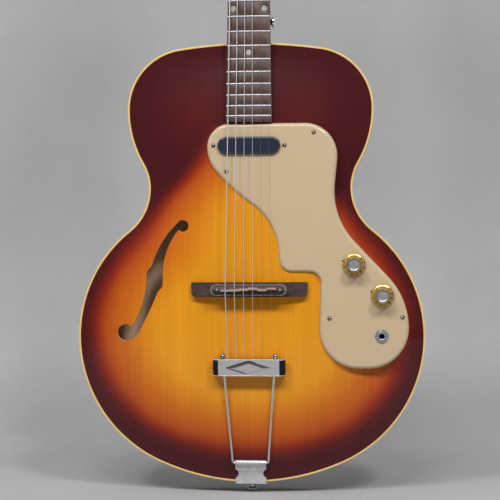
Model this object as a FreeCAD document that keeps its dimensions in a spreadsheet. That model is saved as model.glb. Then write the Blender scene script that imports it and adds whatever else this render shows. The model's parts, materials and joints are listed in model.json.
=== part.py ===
# Archtop guitar with a moulded guard, one pickup, a floating bridge and a trapeze tailpiece.
# Frame: +Z runs up the neck, +X is the treble side and the front faces -Y, in millimetres.
# The origin is on the end button's axis, where it meets the rim at half the rim's depth.
import FreeCAD
import Part
import Sketcher
import math
import os
import re
from types import SimpleNamespace

V = FreeCAD.Vector
Placement = FreeCAD.Placement
Rotation = FreeCAD.Rotation

# Driving dimensions, one cell each
SIZES = {
    # body
    "lower_bout_width": 406.4,
    "waist_width": 238.6,
    "upper_bout_width": 288.4,
    "body_length": 513.8,
    "body_depth": 44.5,
    "plate_thickness": 4.8,
    "top_arch": 14.0,
    "back_arch": 13.0,
    "rim_thickness": 3.0,
    "binding_thickness": 2.2,
    "binding_depth": 6.4,
    "lining_thickness": 6.0,
    "lining_depth": 14.0,
    "neck_block_width": 60.0,
    "neck_block_length": 64.0,
    "tail_block_width": 72.0,
    "tail_block_length": 24.0,
    "tone_bar_width": 8.0,
    "tone_bar_depth": 12.0,
    "tone_bar_length": 210.0,
    "tone_bar_spacing": 76.0,
    "f_hole_length": 141.3,
    "f_hole_offset": 111.8,
    "f_hole_rise": 7.6,
    "seat_gap": 0.15,
    "fit_gap": 0.06,
    "overrun": 5.0,
    # neck and fingerboard
    "scale_length": 628.65,
    "joint_inset": 5.2,
    "neck_rise": 14.5,
    "nut_width": 39.7,
    "board_end_width": 53.6,
    "board_thickness": 6.0,
    "board_radius": 305.0,
    "board_overhang": 7.2,
    "fret_width": 2.3,
    "fret_height": 1.1,
    "tang_width": 0.6,
    "tang_depth": 1.8,
    "dot_diameter": 6.4,
    "dot_depth": 1.6,
    "double_dot_spacing": 36.2,
    "nut_thickness": 5.0,
    "nut_lift": 1.0,
    "neck_depth_nut": 15.0,
    "neck_depth_joint": 17.5,
    "neck_side": 4.0,
    "heel_length": 40.0,
    "heel_depth": 50.0,
    "heel_cap_width": 26.0,
    "tenon_length": 48.0,
    "tenon_width": 28.0,
    "tenon_flare": 8.0,
    "tenon_depth": 34.0,
    "truss_rod_diameter": 4.8,
    "truss_slot_depth": 10.5,
    "truss_nut_diameter": 7.6,
    "truss_nut_length": 10.0,
    "truss_pocket_length": 30.0,
    "truss_pocket_width": 13.0,
    "truss_pocket_depth": 12.2,
    "truss_rod_reach": 12.0,
    "cover_length": 40.0,
    "cover_width": 27.0,
    "cover_thickness": 2.4,
    # headstock and tuners
    "headstock_length": 180.0,
    "headstock_width": 74.0,
    "headstock_tip_width": 62.0,
    "headstock_thickness": 14.5,
    "tuner_first": 44.0,
    "tuner_pitch": 39.0,
    "tuner_spread": 46.0,
    "tuner_plate_width": 17.0,
    "tuner_plate_thickness": 1.2,
    "tuner_plate_margin": 15.0,
    "tuner_plate_corner": 3.0,
    "post_diameter": 6.2,
    "post_rise": 17.0,
    "post_collar_diameter": 8.6,
    "post_seat_diameter": 4.4,
    "post_head_diameter": 6.4,
    "post_head_height": 1.4,
    "string_hole_diameter": 1.8,
    "wrap_rise": 10.0,
    "wrap_gap": 0.3,
    "bushing_diameter": 8.8,
    "bushing_flange_diameter": 11.4,
    "bushing_flange_height": 1.5,
    "bushing_depth": 9.0,
    "gear_radius": 5.6,
    "gear_width": 3.0,
    "tooth_addendum": 0.6,
    "tooth_dedendum": 0.85,
    "worm_radius": 2.8,
    "worm_gap": 0.5,
    "lug_spacing": 11.4,
    "lug_thickness": 1.4,
    "lug_width": 8.4,
    "lug_rise": 3.2,
    "key_shaft_diameter": 3.4,
    "key_tail": 1.0,
    "key_reach": 17.5,
    "button_length": 17.0,
    "button_width": 14.0,
    "button_neck_width": 8.0,
    "button_thickness": 6.4,
    "button_corner": 3.0,
    "button_edge": 1.6,
    # strings
    "sixth_string": 1.27,
    "fifth_string": 0.97,
    "fourth_string": 0.71,
    "third_string": 0.56,
    "second_string": 0.36,
    "first_string": 0.28,
    "nut_string_spread": 35.2,
    "saddle_string_spread": 53.0,
    "tail_string_spread": 49.0,
    "bend_radius": 4.0,
    "string_gap": 0.12,
    "ball_diameter": 4.2,
    # bridge
    "bridge_height": 22.0,
    "bridge_action": 4.2,
    "bridge_base_length": 135.0,
    "bridge_base_width": 17.0,
    "bridge_base_height": 9.0,
    "bridge_wing_height": 5.0,
    "bridge_wing_length": 20.0,
    "bridge_base_corner": 5.0,
    "bridge_relief_length": 44.0,
    "bridge_relief_height": 2.2,
    "bridge_post_spacing": 73.0,
    "bridge_post_diameter": 4.0,
    "bridge_post_socket": 6.0,
    "bridge_post_cover": 1.6,
    "thumbwheel_diameter": 14.4,
    "thumbwheel_thickness": 2.5,
    "thumbwheel_lift": 1.8,
    "saddle_length": 88.0,
    "saddle_width": 13.0,
    "saddle_end_radius": 6.4,
    "saddle_setback": 3.8,
    "saddle_beam_height": 5.4,
    "saddle_ridge_width": 6.4,
    "saddle_crest_width": 1.6,
    "notch_depth": 0.5,
    # trapeze tailpiece
    "hinge_rise": 23.6,
    "hinge_lift": 6.8,
    "hinge_width": 36.0,
    "hinge_plate_thickness": 1.6,
    "hinge_flat": 9.0,
    "hinge_leaf": 11.0,
    "hinge_notch_radius": 5.4,
    "hinge_notch_depth": 3.6,
    "barrel_diameter": 6.2,
    "rod_diameter": 3.0,
    "rod_bend_radius": 2.4,
    "rod_pin_length": 13.0,
    "rod_gap": 0.3,
    "rod_top_spacing": 61.0,
    "crossbar_lift": 9.0,
    "crossbar_width": 84.2,
    "crossbar_height": 19.4,
    "crossbar_depth": 12.0,
    "crossbar_front": 6.6,
    "crossbar_wall": 1.5,
    "crossbar_corner": 7.0,
    "diamond_length": 51.4,
    "diamond_height": 16.6,
    "diamond_rise": 1.4,
    "slot_width": 1.7,
    "slot_reach": 4.6,
    "rod_nut_diameter": 6.2,
    "rod_nut_height": 4.6,
    # strap buttons and screws
    "strap_button_height": 10.4,
    "strap_button_diameter": 13.0,
    "strap_button_waist": 6.8,
    "strap_button_base": 10.4,
    "heel_button_rise": 24.0,
    "heel_button_depth": 1.0,
    "heel_button_sink": 3.0,
    "wood_screw_diameter": 3.6,
    "wood_screw_head_diameter": 6.6,
    "wood_screw_head_height": 2.2,
    "wood_screw_length": 19.0,
    "hinge_screw_spacing": 22.0,
    "small_screw_diameter": 2.2,
    "small_screw_head_diameter": 5.4,
    "small_screw_head_height": 1.8,
    "small_screw_bite": 3.6,
    # guard, pickup and controls
    "guard_rise": 3.2,
    "guard_thickness": 2.6,
    "guard_edge_radius": 4.5,
    "guard_boss_diameter": 8.0,
    "pickup_length": 73.0,
    "pickup_width": 20.0,
    "pickup_rise": 4.6,
    "pickup_wall": 1.1,
    "pickup_edge_radius": 2.2,
    "pickup_base_length": 88.0,
    "pickup_base_thickness": 1.6,
    "pickup_screw_spacing": 82.6,
    "coil_gap": 0.5,
    "magnet_length": 58.0,
    "magnet_width": 11.0,
    "magnet_height": 4.0,
    "control_clearance": 2.0,
    "knob_diameter": 26.4,
    "knob_gap": 1.4,
    "knob_skirt_edge": 1.2,
    "knob_skirt_height": 5.4,
    "knob_crown_diameter": 18.6,
    "knob_top_diameter": 17.0,
    "knob_height": 15.0,
    "knob_recess_diameter": 14.4,
    "knob_recess_height": 4.4,
    "cap_diameter": 15.4,
    "cap_depth": 1.6,
    "cap_dish": 1.0,
    "shaft_diameter": 6.0,
    "pot_diameter": 18.0,
    "pot_depth": 9.0,
    "pot_floor": 1.4,
    "pot_bushing_diameter": 9.4,
    "pot_bushing_rise": 2.8,
    "pointer_reach": 14.6,
    "pointer_width": 5.0,
    "pointer_thickness": 0.7,
    "jack_bore": 6.5,
    "jack_sleeve_diameter": 9.4,
    "jack_collar_diameter": 15.0,
    "jack_collar_depth": 6.0,
    "jack_rise": 3.0,
    "jack_washer_diameter": 15.6,
    "jack_washer_thickness": 0.8,
    "jack_nut_width": 12.7,
    "jack_nut_height": 1.8,
    "jack_spring_width": 6.0,
    "jack_spring_length": 20.0,
    "jack_spring_thickness": 0.8,
    "jack_spring_offset": 9.6,
    "jack_spring_tip": 5.4,
    "capacitor_diameter": 6.0,
    "capacitor_length": 14.0,
    "wire_diameter": 1.6,
    "wire_bend": 2.4,
    "wire_spacing": 5.0,
    "wire_drop": 4.2,
}

# Angles and counts
HEADSTOCK_ANGLE = 14.0
FRET_COUNT = 20
BODY_FRET = 14
DOT_FRETS = (3, 5, 7, 9, 15)
DOUBLE_DOT_FRET = 12
STRING_COUNT = 6
TUNERS_PER_SIDE = 3
GEAR_TEETH = 14
WORM_TURNS = 3
CROWN_POWER = 4
GRID_COLUMNS = 45
GRID_ROWS = 55
POINTER_ANGLE = 158.0

# Heights of the two bouts and the waist, as shares of the body's length
LOWER_BOUT_SHARE = 0.3328
WAIST_SHARE = 0.6695
UPPER_BOUT_SHARE = 0.8497
# Flank arcs, as shares of the arcs between bout and waist
LOWER_FLANK_SHARE = 0.715
UPPER_FLANK_SHARE = 0.694
# How far the corner arcs lean towards an ellipse: 0 is a circle on the height
BOTTOM_LEAN = 0.31
SHOULDER_LEAN = 0.116
# Trapeze's reach, as a share of the way from its hinge to the saddle
TRAPEZE_SHARE = 0.51

# Sound hole: across and along its centre, as shares of its length
F_HOLE_SHARES = {
    "top": (0.219, 0.497),
    "upper_outer": (0.074, 0.331),
    "outer_end": (-0.027, 0.112),
    "outer_nick": (-0.069, 0.064),
    "outer_start": (-0.069, -0.005),
    "lower_outer": (-0.098, -0.175),
    "lower_end": (-0.198, -0.395),
    "bottom": (-0.246, -0.507),
    "tail": (-0.180, -0.483),
    "tail_end": (-0.136, -0.440),
    "lower_inner": (-0.048, -0.269),
    "inner_end": (0.027, -0.102),
    "inner_nick": (0.068, -0.057),
    "inner_start": (0.071, 0.009),
    "upper_inner": (0.090, 0.198),
    "cusp": (0.201, 0.412),
}
UPPER_EYE_SHARES = (0.237, 0.445, 0.048)
LOWER_EYE_SHARES = (-0.246, -0.437, 0.070)

# Guard corners: across half the lower bout, up from the saddle to the board's end, radius of that span
GUARD_CORNER_SHARES = (
    (-0.241, 0.994, 0.142),
    (-0.241, 0.762, 0.226),
    (-0.098, 0.591, 1.05),
    (0.151, 0.390, 0.384),
    (0.177, 0.084, 0.074),
    (0.408, 0.084, 0.068),
    (0.392, -0.502, 0.237),
    (0.905, -0.502, 0.245),
    (0.905, -0.075, 0.450),
    (0.470, 0.418, 0.447),
    (0.522, 0.994, 0.200),
)
GUARD_SCREW_SHARES = ((-0.129, 0.699), (0.370, 0.935), (0.456, -0.196), (0.869, -0.188))
PICKUP_SHARES = (0.0, 0.858)
VOLUME_SHARES = (0.597, 0.128)
TONE_SHARES = (0.757, -0.059)
JACK_SHARES = (0.752, -0.304)

# Heel sections: height up the heel, share of the depth gained, share of the width lost
HEEL_SHARES = ((1.0, 0.0, 0.0), (0.55, 0.10, 0.22), (0.22, 0.42, 0.62), (-0.25, 1.0, 1.0))
HEEL_SIDE_SHARE = 0.55
# Ridge places under the strings, from the sixth, as shares of the saddle's width
COMPENSATION_SHARES = (0.07, 0.05, 0.0, -0.08, 0.02, -0.09)
# Thread and tooth thickness at the pitch line, crest and root, as shares of the pitch
TOOTH_SHARES = (0.32, 0.20, 0.44)
DIAMOND_TOP_SHARE = 0.64
WAIST_HEIGHT_SHARES = (0.34, 0.54, 0.80)
GEAR_SCREW_SHARE = 0.5
# Wires beside the potentiometers' middle, as a share of their diameter
LANE_SHARE = 0.333

doc = FreeCAD.newDocument("ArchtopGuitar")
sheet = doc.addObject("Spreadsheet::Sheet", "Sizes")
for row, (alias, value) in enumerate(SIZES.items(), start=1):
    sheet.set(f"A{row}", alias)
    sheet.set(f"B{row}", str(value))
    sheet.setAlias(f"B{row}", alias)
doc.recompute()
S = SimpleNamespace(**{alias: sheet.get(alias) for alias in SIZES})

SUBPARTS = []


# Document helpers
def keep(item, label):
    item.Label = label
    SUBPARTS.append(item)
    return item


def add_shape(label, shape, placement=Placement()):
    feature = doc.addObject("Part::Feature", label)
    feature.Shape = shape
    feature.Placement = placement
    return keep(feature, label)


def sheet_name(word):
    name = word.group(0)
    return "Sizes." + name if name in SIZES else name


def bound(text):
    return re.sub(r"[a-z_]+", sheet_name, text)


def worth(text):
    return float(sheet.evalExpression(bound(text)))


def origin_plane(body, role):
    return next(item for item in body.Origin.OriginFeatures if item.Role == role)


def sketch_on(body, name, role, lift=None):
    sketch = body.newObject("Sketcher::SketchObject", name)
    sketch.AttachmentSupport = (origin_plane(body, role), "")
    sketch.MapMode = "FlatFace"
    if lift:
        sketch.setExpression("AttachmentOffset.Base.z", bound(lift))
    return sketch


def pin_point(sketch, geometry, position, across, along):
    for kind, text, axis in (("DistanceX", across, -2), ("DistanceY", along, -1)):
        if text == "0":
            sketch.addConstraint(Sketcher.Constraint("PointOnObject", geometry, position, axis))
        else:
            rule = Sketcher.Constraint(kind, -1, 1, geometry, position, worth(text))
            sketch.setExpression(f"Constraints[{sketch.addConstraint(rule)}]", bound(text))


def draw_polygon(sketch, corners):
    points = [V(worth(across), worth(along), 0) for across, along in corners]
    first = sketch.GeometryCount
    count = len(points)
    for index in range(count):
        sketch.addGeometry(Part.LineSegment(points[index], points[(index + 1) % count]), False)
    for index in range(count):
        following = first + (index + 1) % count
        sketch.addConstraint(Sketcher.Constraint("Coincident", first + index, 2, following, 1))
    for index, (across, along) in enumerate(corners):
        pin_point(sketch, first + index, 1, across, along)


def draw_circle(sketch, across, along, diameter):
    centre = V(worth(across), worth(along), 0)
    circle = sketch.addGeometry(Part.Circle(centre, V(0, 0, 1), worth(diameter) / 2), False)
    rule = Sketcher.Constraint("Diameter", circle, worth(diameter))
    sketch.setExpression(f"Constraints[{sketch.addConstraint(rule)}]", bound(diameter))
    pin_point(sketch, circle, 3, across, along)


def new_body(label):
    body = doc.addObject("PartDesign::Body", label)
    body.Label = label
    return body


def pad(body, sketch, length, midplane=False, reverse=False):
    feature = body.newObject("PartDesign::Pad", "pad")
    feature.Profile = sketch
    feature.setExpression("Length", bound(length))
    feature.Midplane = midplane
    feature.Reversed = reverse
    doc.recompute()
    return feature


def pocket(body, sketch, length, midplane=False, reverse=False):
    feature = body.newObject("PartDesign::Pocket", "pocket")
    feature.Profile = sketch
    feature.setExpression("Length", bound(length))
    feature.Midplane = midplane
    feature.Reversed = reverse
    before = body.Shape.Volume
    doc.recompute()
    if not body.Shape.Volume < before:
        raise ValueError(f"{body.Label}: a pocket cuts nothing")
    return feature


def turned(label, profile, placement=Placement()):
    body = new_body(label)
    sketch = sketch_on(body, label + "_profile", "XZ_Plane")
    draw_polygon(sketch, profile)
    feature = body.newObject("PartDesign::Revolution", label + "_turn")
    feature.Profile = sketch
    feature.ReferenceAxis = (sketch, ["V_Axis"])
    feature.Angle = 360
    body.Placement = placement
    doc.recompute()
    return body


def cylinder(label, diameter, length, placement):
    item = doc.addObject("Part::Cylinder", label)
    item.setExpression("Radius", bound(f"({diameter}) / 2"))
    item.setExpression("Height", bound(length))
    item.Placement = placement
    doc.recompute()
    return item


# Shape helpers
def placed(shape, placement):
    copy = shape.copy()
    copy.Placement = placement.multiply(copy.Placement)
    return copy


def block(low, high):
    size = high - low
    return Part.makeBox(size.x, size.y, size.z, low)


def rod_between(start, end, diameter):
    return Part.makeCylinder(diameter / 2, start.distanceToPoint(end), start, end - start)


def rounded_edges(points, radii, closed=True):
    """Straight runs joined by tangent arcs; a radius of zero leaves the corner sharp."""
    count = len(points)
    edges = []
    leaving = []
    entering = []
    for index, corner in enumerate(points):
        inner = closed or 0 < index < count - 1
        if not inner or radii[index] == 0:
            entering.append(corner)
            leaving.append(corner)
            continue
        back = (points[index - 1] - corner).normalize()
        ahead = (points[(index + 1) % count] - corner).normalize()
        half = back.getAngle(ahead) / 2
        reach = radii[index] / math.tan(half)
        entering.append(corner + back * reach)
        leaving.append(corner + ahead * reach)
    for index, corner in enumerate(points):
        if leaving[index] != entering[index]:
            back = (points[index - 1] - corner).normalize()
            ahead = (points[(index + 1) % count] - corner).normalize()
            half = back.getAngle(ahead) / 2
            inward = (back + ahead).normalize()
            middle = corner + inward * (radii[index] / math.sin(half) - radii[index])
            edges.append(Part.Arc(entering[index], middle, leaving[index]).toShape())
        if closed or index < count - 1:
            edges.append(Part.makeLine(leaving[index], entering[(index + 1) % count]))
    return edges


def rounded_face(points, radii):
    return Part.Face(Part.Wire(rounded_edges(points, radii)))


def flat_face(points):
    return Part.Face(Part.makePolygon(points + [points[0]]))


def capsule(first, second, width, depth):
    """A slot with round ends, seen from the front, cut back by the depth."""
    radius = width / 2
    along = (second - first).normalize()
    side = V(along.z, 0, -along.x)
    edges = [
        Part.makeLine(first + side * radius, second + side * radius),
        Part.Arc(second + side * radius, second + along * radius, second - side * radius).toShape(),
        Part.makeLine(second - side * radius, first - side * radius),
        Part.Arc(first - side * radius, first - along * radius, first + side * radius).toShape(),
    ]
    return Part.Face(Part.Wire(edges)).extrude(V(0, depth, 0))


def tube(edges, diameter):
    path = Part.Wire(edges)
    start = edges[0].Vertexes[0].Point if edges[0].Orientation == "Forward" else edges[0].Vertexes[-1].Point
    heading = edges[0].tangentAt(edges[0].FirstParameter)
    ring = Part.Wire([Part.makeCircle(diameter / 2, start, heading)])
    return path.makePipeShell([ring], True, False)


# Body outline
FRONT = -S.body_depth / 2
BACK = S.body_depth / 2


def oval_arcs(half, height, lean):
    """Radius at the side, radius at the end and the angle where the two arcs of a quarter oval meet."""
    side = height * (height / half) ** lean
    end = ((half - side) ** 2 + height ** 2 - side ** 2) / (2 * (height - side))
    outward = math.copysign(1, end - side)
    return side, end, math.atan2(outward * (end - height), outward * (half - side))


def side_arcs():
    """Arcs up the treble side: centre across, centre up, radius, bulge, start angle and end angle."""
    low, waist, high = S.lower_bout_width / 2, S.waist_width / 2, S.upper_bout_width / 2
    low_z, waist_z, high_z = (
        share * S.body_length for share in (LOWER_BOUT_SHARE, WAIST_SHARE, UPPER_BOUT_SHARE)
    )
    corner, bottom, to_corner = oval_arcs(low, low_z, BOTTOM_LEAN)
    shoulder, top, to_top = oval_arcs(high, S.body_length - high_z, SHOULDER_LEAN)
    top_z = S.body_length - top
    lower_sum = ((low - waist) ** 2 + (waist_z - low_z) ** 2) / (2 * (low - waist))
    lower_flank = LOWER_FLANK_SHARE * lower_sum
    lower_waist = lower_sum - lower_flank
    upper_sum = ((high - waist) ** 2 + (high_z - waist_z) ** 2) / (2 * (high - waist))
    upper_flank = UPPER_FLANK_SHARE * upper_sum
    upper_waist = upper_sum - upper_flank
    to_waist = math.atan2(waist_z - low_z, waist + lower_waist - low + lower_flank)
    to_upper = math.atan2(high_z - waist_z, high - upper_flank - waist - upper_waist)
    return [
        (0, bottom, bottom, 1, -math.pi / 2, -to_corner),
        (low - corner, low_z, corner, 1, -to_corner, 0),
        (low - lower_flank, low_z, lower_flank, 1, 0, to_waist),
        (waist + lower_waist, waist_z, lower_waist, -1, to_waist + math.pi, math.pi),
        (waist + upper_waist, waist_z, upper_waist, -1, math.pi, to_upper),
        (high - upper_flank, high_z, upper_flank, 1, to_upper - math.pi, 0),
        (high - shoulder, high_z, shoulder, 1, 0, to_top),
        (0, top_z, top, 1, to_top, math.pi / 2),
    ]


ARCS = side_arcs()


def arc_point(arc, inset, angle, side, y):
    across, up, radius, bulge = arc[:4]
    reach = radius - bulge * inset
    return V(side * (across + reach * math.cos(angle)), y, up + reach * math.sin(angle))


def outline_wire(inset, y):
    edges = []
    for side, chain in ((1, ARCS), (-1, ARCS[::-1])):
        for arc in chain:
            angles = (arc[4], (arc[4] + arc[5]) / 2, arc[5])
            points = [arc_point(arc, inset, angle, side, y) for angle in angles]
            edges.append(Part.Arc(*(points if side > 0 else points[::-1])).toShape())
    return Part.Wire(edges)


def outline_prism(inset, front, back):
    return Part.Face(outline_wire(inset, front)).extrude(V(0, back - front, 0))


def outline_ring(outer, inner, front, back):
    return outline_prism(outer, front, back).cut(outline_prism(inner, front, back))


def half_width(z, inset):
    for arc in ARCS:
        across, up, radius, bulge, start, end = arc
        reach = radius - bulge * inset
        if up + reach * math.sin(start) <= z <= up + reach * math.sin(end):
            return across + bulge * math.sqrt(max(reach ** 2 - (z - up) ** 2, 0))
    return 0


# Arched plates
def crown_share(x, z):
    """Height of the arch as a share of its crest: level over the linings, then a recurve and a dome."""
    level = S.rim_thickness + S.lining_thickness
    along = (z - level) / (S.body_length - 2 * level)
    width = half_width(z, level)
    if not 0 < along < 1 or abs(x) >= width:
        return 0
    rise = (1 - abs(2 * along - 1) ** CROWN_POWER) * (1 - (x / width) ** 2)
    return rise * rise * (3 - 2 * rise)


def arch_face(side, arch):
    reach = S.lower_bout_width / 2 + S.overrun
    rows = []
    for row in range(GRID_ROWS):
        z = -S.overrun + (S.body_length + 2 * S.overrun) * row / (GRID_ROWS - 1)
        across = [reach * (2 * column / (GRID_COLUMNS - 1) - 1) for column in range(GRID_COLUMNS)]
        rows.append([V(x, side * (S.body_depth / 2 + arch * crown_share(x, z)), z) for x in across])
    surface = Part.BSplineSurface()
    surface.interpolate(rows)
    return surface.toShape()


TOP_FACE = arch_face(-1, S.top_arch)
BACK_FACE = arch_face(1, S.back_arch)


def slab(face, side, start, depth):
    """The space from start to start plus depth behind an arched face, towards the inside."""
    return face.translated(V(0, -side * start, 0)).extrude(V(0, -side * depth, 0))


def top_y(x, z):
    return FRONT - S.top_arch * crown_share(x, z)


# Places that follow from the sizes
def fret_place(number):
    return S.scale_length * (1 - 2 ** (-number / 12))


NUT_Z = fret_place(BODY_FRET)
STRING_LIFT = S.fret_height + S.bridge_action
NECK_ANGLE = math.asin(
    (S.top_arch + S.bridge_height - STRING_LIFT - S.neck_rise) / (S.scale_length - NUT_Z)
)
NECK = Placement(
    V(0, FRONT - S.neck_rise, S.body_length - S.joint_inset),
    Rotation(V(1, 0, 0), -math.degrees(NECK_ANGLE)),
)
HEAD = NECK.multiply(
    Placement(V(0, S.board_thickness, NUT_Z + S.nut_thickness), Rotation(V(1, 0, 0), -HEADSTOCK_ANGLE))
)
BOARD_END = NUT_Z - fret_place(FRET_COUNT) - S.board_overhang
BOARD_END_Z = NECK.multVec(V(0, 0, BOARD_END)).z
SADDLE = NECK.multVec(V(0, -STRING_LIFT, NUT_Z - S.scale_length))
BRIDGE_Z = SADDLE.z - S.saddle_setback
GUARD_Y = FRONT - S.top_arch - S.guard_rise
TRAPEZE = TRAPEZE_SHARE * (SADDLE.z - S.hinge_rise)
TAIL_PITCH = math.asin((S.top_arch + S.crossbar_lift - S.hinge_lift) / TRAPEZE)
TAIL = Placement(V(0, FRONT - S.hinge_lift, S.hinge_rise), Rotation(V(1, 0, 0), math.degrees(TAIL_PITCH)))
FACING = Rotation(V(1, 0, 0), 90)
GAUGES = (S.sixth_string, S.fifth_string, S.fourth_string, S.third_string, S.second_string, S.first_string)


def spread_place(spread, index):
    return spread * (index / (STRING_COUNT - 1) - 1 / 2)


def crown_drop(x):
    return S.board_radius - math.sqrt(S.board_radius ** 2 - x ** 2)


def board_width(z):
    share = (NUT_Z - z) / (NUT_Z - BOARD_END)
    return S.nut_width + (S.board_end_width - S.nut_width) * share


def guard_place(shares, y=GUARD_Y):
    across, along = shares[:2]
    return V(across * S.lower_bout_width / 2, y, SADDLE.z + along * (BOARD_END_Z - SADDLE.z))


def nut_point(index):
    x = spread_place(S.nut_string_spread, index)
    return NECK.multVec(V(x, crown_drop(x) - S.fret_height - S.nut_lift, NUT_Z))


def saddle_point(index):
    x = spread_place(S.saddle_string_spread, index)
    setback = S.saddle_setback + COMPENSATION_SHARES[index] * S.saddle_width
    return NECK.multVec(V(x, crown_drop(x) - STRING_LIFT, NUT_Z - S.scale_length - setback))


def post_place(index):
    """Tuner post on the headstock's face: the outer strings take the posts nearest the nut."""
    side = -1 if index < TUNERS_PER_SIDE else 1
    step = index if side < 0 else STRING_COUNT - 1 - index
    return side, V(side * S.tuner_spread / 2, 0, S.tuner_first + S.tuner_pitch * step)


# Cutting tools shared by several pieces
def tenon_prism(gap):
    """Dovetail that slides into the body from the front, wider at its inner end."""
    top = S.body_length + S.overrun
    low = S.body_length - S.tenon_length - gap
    narrow = S.tenon_width / 2 + gap
    wide = narrow + S.tenon_flare / 2
    front = FRONT - S.neck_rise
    corners = [V(-narrow, front, top), V(narrow, front, top), V(wide, front, low), V(-wide, front, low)]
    return flat_face(corners).extrude(V(0, S.neck_rise + S.tenon_depth + gap, 0))


def screw_hole(place, heading, length, diameter):
    start = place - heading * S.overrun
    return rod_between(start, place + heading * length, diameter + 2 * S.fit_gap)


INWARD = V(0, 1, 0)
UPWARD = V(0, 0, 1)
GUARD_SCREWS = [guard_place(shares) for shares in GUARD_SCREW_SHARES]


def guard_screw_length(place):
    return top_y(place.x, place.z) - GUARD_Y + S.small_screw_bite


HINGE_FACE_Z = -S.seat_gap - S.hinge_plate_thickness
HINGE_SCREWS = [V(side * S.hinge_screw_spacing / 2, 0, HINGE_FACE_Z) for side in (-1, 1)]
END_SCREW = V(0, 0, HINGE_FACE_Z - S.strap_button_height + S.wood_screw_head_height)
END_SCREW_LENGTH = S.wood_screw_length + S.strap_button_height - S.wood_screw_head_height


def tail_screw_holes():
    holes = [screw_hole(place, UPWARD, S.wood_screw_length, S.wood_screw_diameter) for place in HINGE_SCREWS]
    holes.append(screw_hole(END_SCREW, UPWARD, END_SCREW_LENGTH, S.wood_screw_diameter))
    return Part.Compound(holes)


def f_hole_point(shares):
    across, along = shares[:2]
    x = across * S.f_hole_length - S.f_hole_offset
    z = along * S.f_hole_length + S.f_hole_rise
    return V(x, FRONT - S.top_arch - S.overrun, SADDLE.z + z)


def f_hole_prism():
    depth = S.top_arch + S.plate_thickness + 2 * S.overrun
    spot = {name: f_hole_point(shares) for name, shares in F_HOLE_SHARES.items()}
    edges = [
        Part.Arc(spot["top"], spot["upper_outer"], spot["outer_end"]).toShape(),
        Part.makeLine(spot["outer_end"], spot["outer_nick"]),
        Part.makeLine(spot["outer_nick"], spot["outer_start"]),
        Part.Arc(spot["outer_start"], spot["lower_outer"], spot["lower_end"]).toShape(),
        Part.makeLine(spot["lower_end"], spot["bottom"]),
        Part.Arc(spot["bottom"], spot["tail"], spot["tail_end"]).toShape(),
        Part.Arc(spot["tail_end"], spot["lower_inner"], spot["inner_end"]).toShape(),
        Part.makeLine(spot["inner_end"], spot["inner_nick"]),
        Part.makeLine(spot["inner_nick"], spot["inner_start"]),
        Part.Arc(spot["inner_start"], spot["upper_inner"], spot["cusp"]).toShape(),
        Part.makeLine(spot["cusp"], spot["top"]),
    ]
    stem = Part.Face(Part.Wire(edges)).extrude(INWARD * depth)
    eyes = [
        Part.makeCylinder(eye[2] * S.f_hole_length, depth, f_hole_point(eye), INWARD)
        for eye in (UPPER_EYE_SHARES, LOWER_EYE_SHARES)
    ]
    return stem.multiFuse(eyes)


def control_opening():
    """One opening in the top for the two potentiometers and the jack."""
    start = GUARD_Y
    depth = S.top_arch + S.guard_rise + S.plate_thickness + S.overrun
    width = S.pot_diameter + 2 * S.control_clearance
    volume, tone, jack = (guard_place(shares, start) for shares in (VOLUME_SHARES, TONE_SHARES, JACK_SHARES))
    return capsule(volume, tone, width, depth).fuse(capsule(tone, jack, width, depth))


def across_pickup(length, width, front, depth):
    centre = guard_place(PICKUP_SHARES, front)
    reach = V((length - width) / 2, 0, 0)
    return capsule(centre - reach, centre + reach, width, depth)


def pickup_opening():
    gap = 2 * S.control_clearance
    depth = S.top_arch + S.guard_rise + S.plate_thickness + S.overrun
    return across_pickup(S.pickup_base_length + gap, S.pickup_width + gap, GUARD_Y, depth)


# Body pieces
def make_top_plate():
    plate = slab(TOP_FACE, -1, 0, S.plate_thickness)
    inset = S.binding_thickness + S.seat_gap
    plate = plate.common(outline_prism(inset, FRONT - S.top_arch - S.overrun, BACK))
    screws = [
        screw_hole(place, INWARD, guard_screw_length(place), S.small_screw_diameter) for place in GUARD_SCREWS
    ]
    tools = [f_hole_prism(), control_opening(), pickup_opening(), tenon_prism(S.seat_gap)] + screws
    add_shape("top_plate", plate.cut(tools))


def make_back_plate():
    plate = slab(BACK_FACE, 1, 0, S.plate_thickness)
    inset = S.binding_thickness + S.seat_gap
    add_shape("back_plate", plate.common(outline_prism(inset, FRONT, BACK + S.back_arch + S.overrun)))


def make_rim():
    wall = outline_ring(0, S.rim_thickness, FRONT + S.binding_depth, BACK - S.binding_depth)
    ledge = S.plate_thickness + S.seat_gap
    step = outline_ring(S.binding_thickness, S.rim_thickness, FRONT + ledge, BACK - ledge)
    rim = wall.fuse(step).cut([tenon_prism(S.seat_gap), tail_screw_holes()])
    reach = S.lower_bout_width
    halves = []
    for side in (-1, 1):
        low = V(min(0, side * reach), FRONT, -S.overrun)
        high = V(max(0, side * reach), BACK, S.body_length + S.overrun)
        halves.append(rim.common(block(low, high)))
    add_shape("rim", Part.Compound([solid for half in halves for solid in half.Solids]))


def make_bindings():
    channel = S.binding_depth - S.seat_gap
    front = outline_ring(0, S.binding_thickness, FRONT, FRONT + channel)
    add_shape("top_binding", front.cut(tenon_prism(S.seat_gap)))
    add_shape("back_binding", outline_ring(0, S.binding_thickness, BACK - channel, BACK))


def neck_block_space(gap):
    half = S.neck_block_width / 2 + gap
    low = S.body_length - S.rim_thickness - S.neck_block_length - gap
    return block(V(-half, FRONT - S.top_arch, low), V(half, BACK + S.back_arch, S.body_length))


def tail_block_space(gap):
    half = S.tail_block_width / 2 + gap
    high = S.rim_thickness + S.tail_block_length + gap
    return block(V(-half, FRONT - S.top_arch, -S.overrun), V(half, BACK + S.back_arch, high))


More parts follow.
